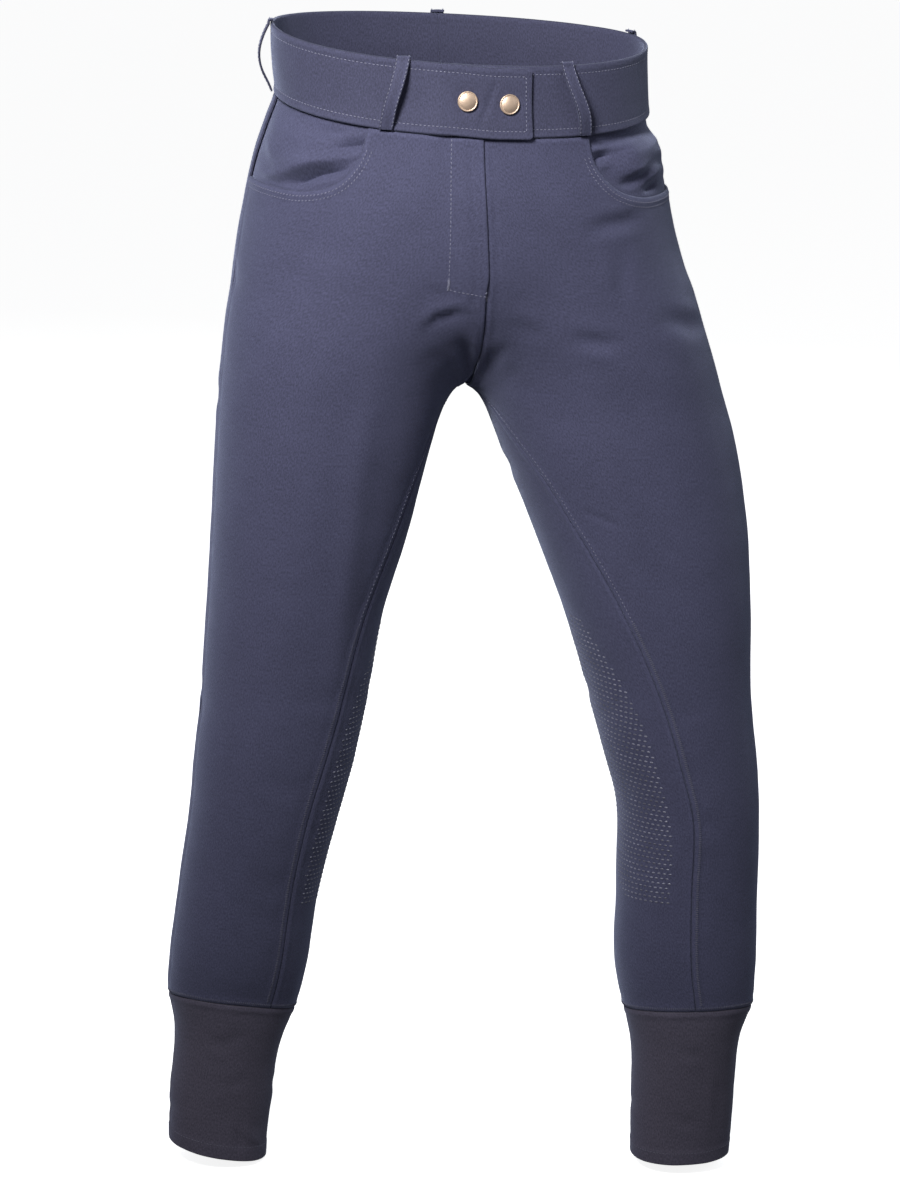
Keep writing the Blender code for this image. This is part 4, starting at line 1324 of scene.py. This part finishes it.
class Finish:
    """A material built from nodes, ending in one Principled shader."""

    def __init__(self, name):
        self.material = bpy.data.materials.new(name)
        self.material.use_nodes = True
        self.tree = self.material.node_tree
        self.tree.nodes.clear()
        self.shader = self.tree.nodes.new("ShaderNodeBsdfPrincipled")
        output = self.tree.nodes.new("ShaderNodeOutputMaterial")
        self.tree.links.new(self.shader.outputs[0], output.inputs["Surface"])

    def node(self, kind, chosen=None, values=None):
        """A node of this type, with its settings first and then the values or links of its sockets."""
        made = self.tree.nodes.new(kind)
        for key, value in (chosen or {}).items():
            setattr(made, key, value)
        for key, value in (values or {}).items():
            self.put(made.inputs[key], value)
        return made

    def put(self, socket, value):
        """Links a reading or a socket to this one, or sets a plain value."""
        if isinstance(value, Reading):
            value = value.socket
        if isinstance(value, bpy.types.NodeSocket):
            self.tree.links.new(value, socket)
        else:
            socket.default_value = value

    def number(self, kind, chosen=None, values=None, output=0):
        return Reading(self, self.node(kind, chosen, values).outputs[output])

    def place(self, output):
        return self.node("ShaderNodeTexCoord").outputs[output]

    def grain(self, where, scale, detail=2.0, rough=0.5):
        values = {"Vector": where, "Scale": scale, "Detail": detail, "Roughness": rough}
        return self.number("ShaderNodeTexNoise", {}, values)

    def blend(self, share, first, second):
        """A colour from first to second. The sockets are the Mix node's factor and its two colours."""
        mixed = self.node("ShaderNodeMix", {"data_type": "RGBA"}, {0: share, 6: first, 7: second})
        return mixed.outputs[2]

    def set(self, **values):
        """Sets or links the shader's sockets, with _ for each space in a name."""
        for key, value in values.items():
            self.put(self.shader.inputs[key.replace("_", " ")], value)

    def bumped(self, height, distance):
        bump = self.node("ShaderNodeBump", {}, {"Distance": distance, "Height": height})
        self.put(self.shader.inputs["Normal"], bump.outputs[0])


def colour(value, by=1.0):
    return (value[0] * by, value[1] * by, value[2] * by, 1.0)


def knit(name, base, wale, depth, sheen, rough, mottle):
    """A close double-knit: fine upright wales, faint courses, slow mottling, puckers and a lighter band
    beside seams, and painted shade along each sewn edge.
    """
    made = Finish(name)
    cut = made.place("UV")
    parts = made.node("ShaderNodeSeparateXYZ", {}, {0: cut})
    across, up = Reading(made, parts.outputs[0]), Reading(made, parts.outputs[1])
    seam = made.number("ShaderNodeAttribute", {"attribute_name": "seam_mm"}, {}, 2)
    wobble = made.grain(cut, 260.0, 2.0)
    turn = 2 * math.pi
    wales = (across * (turn / wale) + wobble * 2.2).sine()
    courses = (up * (turn / (wale * 0.8)) + wobble * 2.6).sine()
    fuzz = made.grain(cut, 2600.0, 2.0, 0.6)
    drawn_up = made.node("ShaderNodeMapping", {}, {"Vector": cut, "Scale": (1.0, 0.5, 1.0)}).outputs[0]
    slub = made.grain(drawn_up, 900.0, 2.0, 0.6)
    slow = made.grain(cut, 16.0, 3.0, 0.55)
    middle = made.grain(cut, 74.0, 2.0, 0.5)
    pucker = (made.grain(cut, 330.0, 2.0, 0.6) - 0.5) * seam.bell(4.6, 3.0)
    tone = (slow - 0.5) * (mottle * 3.0) + (middle - 0.5) * (mottle * 2.0) + (slub - 0.5) * 2.2
    tone = tone + wales * 0.03 + (fuzz - 0.5) * 0.8
    # The colour is lighter in a narrow band just beside each sewn edge.
    lighter_beside_seam = seam.bell(2.4, 1.2) * 0.22
    # Painted shade: the colour darkens within a millimetre of each sewn edge, where seam grooves and the
    # gaps between overlapping pieces fall in shadow.
    dark = 1 - seam.within(0.1, 0.9)
    share = tone + lighter_beside_seam + 0.42
    base_colour = made.blend(share, colour(base, 0.72), colour(base, 1.42))
    # The painted shade along the sewn edges is blended into the cloth's colour here.
    made.set(Base_Color=made.blend(dark * 0.5, base_colour, colour(base, 0.22)))
    made.set(Roughness=rough + slub * 0.10 - 0.05)
    height = wales * 0.16 + courses * 0.14 + fuzz * 1.1 + slub * 1.2 + pucker * 3.0 + middle * 1.0
    made.bumped(height, depth)
    made.set(Sheen_Weight=sheen, Sheen_Roughness=0.42, Sheen_Tint=(0.62, 0.70, 1.0, 1.0))
    made.set(Specular_IOR_Level=0.32)
    return made.material


def thread(name, base):
    """Polyester thread: two plies laid round each other, with a soft shine."""
    made = Finish(name)
    here = made.place("Object")
    plies = made.grain(here, 1500.0, 2.0)
    slow = made.grain(here, 90.0, 2.0)
    share = plies * 0.7 + slow * 0.5 - 0.1
    made.set(Base_Color=made.blend(share, colour(base, 0.75), colour(base, 1.3)))
    made.set(Roughness=0.5 + plies * 0.15)
    made.bumped(plies, 0.0001)
    made.set(Sheen_Weight=0.15, Sheen_Roughness=0.4)
    return made.material


def silicone(name, base):
    """Printed silicone grip: smooth, dark and faintly glossy."""
    made = Finish(name)
    here = made.place("Object")
    cloudy = made.grain(here, 70.0, 3.0)
    pits = made.grain(here, 1400.0, 2.0)
    patchy = (cloudy - 0.5) * 2.4 + 0.5
    made.set(Base_Color=made.blend(patchy, colour(base, 0.4), colour(base, 1.4)))
    made.set(Roughness=0.24 + cloudy * 0.14, Coat_Weight=0.25 + 0.2 * cloudy)
    made.bumped(pits, 0.00004)
    made.set(Coat_Roughness=0.25, IOR=1.42)
    return made.material


def plated(name, base):
    """Stud caps: satin plating over pressed brass, with brushing and tarnish that vary at random."""
    made = Finish(name)
    here = made.place("Object")
    brushed = made.grain(here, 900.0, 3.0)
    tarnish = made.grain(here, 130.0, 3.0)
    dents = made.grain(here, 340.0, 2.0)
    share = tarnish * 0.8 + brushed * 0.2
    made.set(Base_Color=made.blend(share, colour(base, 0.82), colour(base, 1.12)))
    made.set(Metallic=0.9 - 0.2 * tarnish, Roughness=0.40 + brushed * 0.12 + tarnish * 0.08)
    made.bumped(dents, 0.00006)
    return made.material


def floor_finish(name, base, glow):
    """Plain pale studio floor, faintly speckled, glowing enough to run into the surround."""
    made = Finish(name)
    here = made.place("Object")
    speck = made.grain(here, 60.0, 2.0)
    made.set(Base_Color=made.blend(speck, colour(base, 0.995), colour(base, 1.0)))
    made.set(Roughness=0.85, Emission_Color=colour((1, 1, 1)), Emission_Strength=glow)
    made.set(Specular_IOR_Level=0.1)
    return made.material


@functools.lru_cache
def finish(kind):
    """Each finish once, in the colours that the panel shows."""
    chosen = settings()
    wale, depth, sheen = chosen.wale, chosen.wale_depth, chosen.sheen
    cloths = {
        "cloth": (chosen.cloth_colour, wale, depth, sheen, 0.82, 0.12),
        "band_cloth": (chosen.band_colour, wale * 0.9, depth * 0.8, sheen, 0.8, 0.10),
        "cuff_cloth": (chosen.cuff_colour, wale * 0.6, depth * 0.5, sheen * 0.6, 0.72, 0.08),
    }
    if kind in cloths:
        base, *rest = cloths[kind]
        return knit(kind, base, *rest)
    if kind == "thread":
        return thread(kind, chosen.thread_colour)
    if kind == "dark_thread":
        return thread(kind, [part * 0.6 for part in chosen.thread_colour])
    if kind == "grip":
        return silicone(kind, chosen.grip_colour)
    if kind == "stud":
        return plated(kind, chosen.stud_colour)
    return floor_finish(kind, (0.9, 0.9, 0.905), chosen.floor_glow)


# ---------------------------------------------------------------- stage
FLOOR_BELOW = 0.0015
FLOOR_RADIUS = 60.0
KEY_SPREAD = 66.0  # degrees
CAMERA_PLACE = Vector((-0.4515, -2.5605, 0.30))
CAMERA_AIM = Vector((0.0, 0.0, -0.435))
CAMERA_ROLL = 1.0  # degrees


def make_floor():
    """A wide pale disc just under the lower hem."""
    low = CAD_BOX[0][2] - FLOOR_BELOW
    mesh = bpy.data.meshes.new("floor")
    shaped = bmesh.new()
    bmesh.ops.create_circle(shaped, cap_ends=True, radius=FLOOR_RADIUS, segments=96)
    shaped.to_mesh(mesh)
    shaped.free()
    mesh.transform(Matrix.Translation((0, 0, low)))
    mesh.materials.append(finish("floor"))
    floor = placed("floor", mesh)
    floor.visible_diffuse = False
    floor.visible_glossy = False


def make_light(name, place, aim, size, power, tint, spread=180.0):
    """One soft lamp of this width and height in metres, aimed at a point."""
    lamp = bpy.data.lights.new(name, "AREA")
    lamp.shape = "RECTANGLE"
    lamp.size, lamp.size_y = size
    lamp.energy = power
    lamp.color = tint
    lamp.spread = math.radians(spread)
    made = placed(name, lamp)
    made.location = place
    made.rotation_euler = (Vector(aim) - Vector(place)).to_track_quat("-Z", "Y").to_euler()


def make_camera():
    """The camera, in front of and above the waist, a little to the garment's right, and rolled a little."""
    forward = (CAMERA_AIM - CAMERA_PLACE).normalized()
    right = forward.cross(Vector((0, 0, 1))).normalized()
    up = right.cross(forward)
    turn = math.radians(CAMERA_ROLL)
    turned_right = right * math.cos(turn) + up * math.sin(turn)
    turned_up = up * math.cos(turn) - right * math.sin(turn)
    lens = bpy.data.cameras.new("camera")
    lens.lens = settings().lens
    lens.sensor_width = 36.0
    lens.clip_end = 200.0
    camera = placed("camera", lens)
    axes = Matrix((turned_right, turned_up, -forward)).transposed().to_4x4()
    camera.matrix_world = Matrix.Translation(CAMERA_PLACE) @ axes
    bpy.context.scene.camera = camera


def make_world():
    """A plain white surround that looks white and lights the cloth gently."""
    world = bpy.data.worlds.new("studio")
    world.use_nodes = True
    tree = world.node_tree
    ground = tree.nodes["Background"]
    seen = tree.nodes.new("ShaderNodeLightPath")
    mixed = tree.nodes.new("ShaderNodeMapRange")
    tree.links.new(seen.outputs["Is Camera Ray"], mixed.inputs["Value"])
    mixed.inputs["To Min"].default_value = settings().surround
    mixed.inputs["To Max"].default_value = 1.0
    tree.links.new(mixed.outputs[0], ground.inputs["Strength"])
    ground.inputs["Color"].default_value = (0.96, 0.975, 1.0, 1.0)
    bpy.context.scene.world = world
    bpy.context.scene.view_settings.view_transform = "Standard"


# ---------------------------------------------------------------- add-on
def shade(name, description, default):
    return bpy.props.FloatVectorProperty(
        name=name, description=description, default=default, size=3, min=0, max=1, subtype="COLOR"
    )


def size(name, description, default):
    return bpy.props.FloatProperty(name=name, description=description, default=default, min=0.05)


def amount(name, description, default, **kept):
    return bpy.props.FloatProperty(name=name, description=description, default=default, **kept)


class BreechesSettings(bpy.types.PropertyGroup):
    """The sizes and colours that a maker would change."""

    cloth_colour: shade("Cloth", "Colour of the bonded double-knit", (0.071, 0.0735, 0.137))
    band_colour: shade("Waistband", "Colour of the waistband and belt loops", (0.061, 0.063, 0.115))
    cuff_colour: shade("Cuffs", "Colour of the stretch cuffs", (0.088, 0.080, 0.118))
    thread_colour: shade("Thread", "Colour of the topstitching", (0.20, 0.205, 0.29))
    grip_colour: shade("Grip", "Colour of the printed grip", (0.20, 0.205, 0.27))
    stud_colour: shade("Studs", "Colour of the press-stud caps", (0.84, 0.64, 0.49))
    wale: amount("Wale", "From one upright rib of the knit to the next", 0.001, unit="LENGTH")
    wale_depth: amount("Wale depth", "How deep the knit's relief is", 0.00016, unit="LENGTH")
    sheen: amount("Sheen", "How much the knit's nap catches light", 0.4)
    stitch: size("Stitch", "Length of a stitch in millimetres", 2.5)
    stitch_pitch: size("Stitch pitch", "From one stitch to the next in millimetres", 3.4)
    thread_width: size("Thread width", "How wide the thread is in millimetres", 0.75)
    ladder_pitch: size("Ladder pitch", "From one crosswise stitch to the next in millimetres", 1.7)
    dash: size("Grip dash", "Length of a grip dash in millimetres", 3.0)
    dash_pitch: size("Grip pitch", "From one grip dash to the next in millimetres", 4.6)
    key_power: amount("Key light", "Power of the high front light", 6.2, unit="POWER")
    fill_power: amount("Fill light", "Power of the side and back lights", 3.6, unit="POWER")
    surround: amount("Surround", "How strongly the white surround lights", 0.12)
    floor_glow: amount("Floor glow", "How bright the floor is by itself", 0.86)
    lens: amount("Lens", "Focal length", 99, subtype="DISTANCE_CAMERA")


class BREECHES_OT_panels(bpy.types.Operator):
    """Sew the two fronts and the two backs"""

    bl_idname = "breeches.panels"
    bl_label = "Leg panels"

    def execute(self, context):
        for side in (RIGHT, LEFT):
            make_front(side, finish("cloth"))
            make_back(side, finish("cloth"))
        return {"FINISHED"}


class BREECHES_OT_facings(bpy.types.Operator):
    """Set the pocket facings behind the pocket mouths"""

    bl_idname = "breeches.facings"
    bl_label = "Pocket facings"

    def execute(self, context):
        make_facing(RIGHT, 2.0, finish("cloth"))
        make_facing(LEFT, 5.0, finish("cloth"))
        return {"FINISHED"}


class BREECHES_OT_cuffs(bpy.types.Operator):
    """Knit the two stretch cuffs"""

    bl_idname = "breeches.cuffs"
    bl_label = "Cuffs"

    def execute(self, context):
        make_cuff(RIGHT, finish("cuff_cloth"))
        make_cuff(LEFT, finish("cuff_cloth"))
        return {"FINISHED"}


class BREECHES_OT_waistband(bpy.types.Operator):
    """Make the waistband's two halves and its tab"""

    bl_idname = "breeches.waistband"
    bl_label = "Waistband"

    def execute(self, context):
        make_bands(finish("band_cloth"))
        return {"FINISHED"}


class BREECHES_OT_loops(bpy.types.Operator):
    """Stand the belt loops on the waistband"""

    bl_idname = "breeches.loops"
    bl_label = "Belt loops"

    def execute(self, context):
        for loop in LOOPS:
            make_loop(*loop, finish("band_cloth"))
        return {"FINISHED"}


class BREECHES_OT_snaps(bpy.types.Operator):
    """Press the two studs into the tab"""

    bl_idname = "breeches.snaps"
    bl_label = "Press studs"

    def execute(self, context):
        for number, place in enumerate(SNAP_ARCS, 1):
            make_snap(f"snap_{number}", place, finish("stud"))
        return {"FINISHED"}


class BREECHES_OT_zip(bpy.types.Operator):
    """Set the closed zip behind the fly"""

    bl_idname = "breeches.zip"
    bl_label = "Fly zip"

    def execute(self, context):
        make_zip(finish("band_cloth"))
        dark = finish("dark_thread")
        sewn("fly_zip_coil", ["coil"], dark, 4.4, 1.5, 0.9, 0.9, ACROSS, 8)
        return {"FINISHED"}


class BREECHES_OT_stitches(bpy.types.Operator):
    """Lay every row of stitches on the finished cloth"""

    bl_idname = "breeches.stitches"
    bl_label = "Stitches"

    def execute(self, context):
        chosen = settings()
        mark_seams()
        long, pitch, wide = chosen.stitch, chosen.stitch_pitch, chosen.thread_width
        rung, thin = chosen.ladder_pitch, chosen.thread_width * 0.85
        light, dark = finish("thread"), finish("dark_thread")
        sewn("stitches_band", ["band", "loops"], light, long * 0.9, pitch * 0.94, wide, 0.6)
        sewn("stitches_fly", ["fly"], light, long, pitch, wide, 0.6)
        sewn("stitches_tacks", ["tack"], light, 2.6, 0.75, wide, 0.9, ACROSS)
        sewn("stitches_pockets", ["pocket"], light, long * 0.8, pitch * 0.9, wide, 0.55, SLANTED)
        sewn("stitches_seat", ["seat"], light, long, pitch, wide, 0.55)
        sewn("stitches_inseam", ["inseam"], light, long * 0.7, pitch, wide, 0.55)
        sewn("stitches_ladder", ["ladder"], dark, 3.0, rung, thin, 0.6, ACROSS)
        sewn("stitches_cuffs", ["cuff"], dark, 2.8, rung, thin, 0.6, ACROSS)
        sewn("stitches_hems", ["hem"], dark, long * 0.7, pitch * 0.8, wide * 0.8, 0.5)
        return {"FINISHED"}


class BREECHES_OT_grip(bpy.types.Operator):
    """Print the grip dashes inside both knees"""

    bl_idname = "breeches.grip"
    bl_label = "Grip"

    def execute(self, context):
        chosen = settings()
        for side in (RIGHT, LEFT):
            mark_grip(side)
            name = "grip_" + SIDE_NAMES[side]
            sewn(name, [name], finish("grip"), chosen.dash, chosen.dash_pitch, 1.5, 0.8, 0.0, 8)
        return {"FINISHED"}


class BREECHES_OT_stage(bpy.types.Operator):
    """Set the floor, the lights and the camera"""

    bl_idname = "breeches.stage"
    bl_label = "Stage"

    def execute(self, context):
        chosen = settings()
        make_floor()
        key, fill = chosen.key_power, chosen.fill_power
        warm, cool, cold = (1.0, 0.985, 0.97), (0.90, 0.94, 1.0), (0.80, 0.87, 1.0)
        make_light("key", (-0.80, -1.25, 1.0), (0.0, 0.0, -0.08), (0.5, 0.5), key, warm, KEY_SPREAD)
        make_light("fill_right", (1.6, -1.3, 0.75), (0.0, 0.0, -0.25), (0.9, 0.9), fill, cool)
        make_light("rim_left", (-1.3, 1.0, 0.25), (0.0, 0.0, -0.40), (0.6, 1.6), 1.6 * fill, cold)
        make_light("rim_right", (1.4, 0.9, 0.25), (0.0, 0.0, -0.40), (0.6, 1.6), 1.6 * fill, cold)
        make_light("back", (0.8, 2.4, 1.1), (0.0, 0.0, -0.35), (1.2, 1.2), 5.0 * fill, (0.96, 0.98, 1.0))
        make_world()
        make_camera()
        return {"FINISHED"}


STEPS = (
    BREECHES_OT_stage, BREECHES_OT_panels, BREECHES_OT_facings, BREECHES_OT_cuffs, BREECHES_OT_waistband,
    BREECHES_OT_loops, BREECHES_OT_snaps, BREECHES_OT_zip, BREECHES_OT_stitches, BREECHES_OT_grip,
)


class BREECHES_PT_sidebar(bpy.types.Panel):
    """Lists the steps and the sizes"""

    bl_idname = "BREECHES_PT_sidebar"
    bl_label = "Riding breeches"
    bl_space_type = "VIEW_3D"
    bl_region_type = "UI"
    bl_category = "Breeches"

    def draw(self, context):
        layout = self.layout
        for step in STEPS:
            layout.operator(step.bl_idname)
        for name in BreechesSettings.__annotations__:
            layout.prop(context.scene.breeches, name)


CLASSES = (BreechesSettings, *STEPS, BREECHES_PT_sidebar)


def register():
    for kind in CLASSES:
        bpy.utils.register_class(kind)
    bpy.types.Scene.breeches = bpy.props.PointerProperty(type=BreechesSettings)


def unregister():
    del bpy.types.Scene.breeches
    for kind in reversed(CLASSES):
        bpy.utils.unregister_class(kind)


def main():
    """Makes every piece in order."""
    register()
    bpy.ops.breeches.stage()
    bpy.ops.breeches.panels()
    bpy.ops.breeches.facings()
    bpy.ops.breeches.cuffs()
    bpy.ops.breeches.waistband()
    bpy.ops.breeches.loops()
    bpy.ops.breeches.snaps()
    bpy.ops.breeches.zip()
    bpy.ops.breeches.stitches()
    bpy.ops.breeches.grip()


if __name__ == "__main__":
    main()
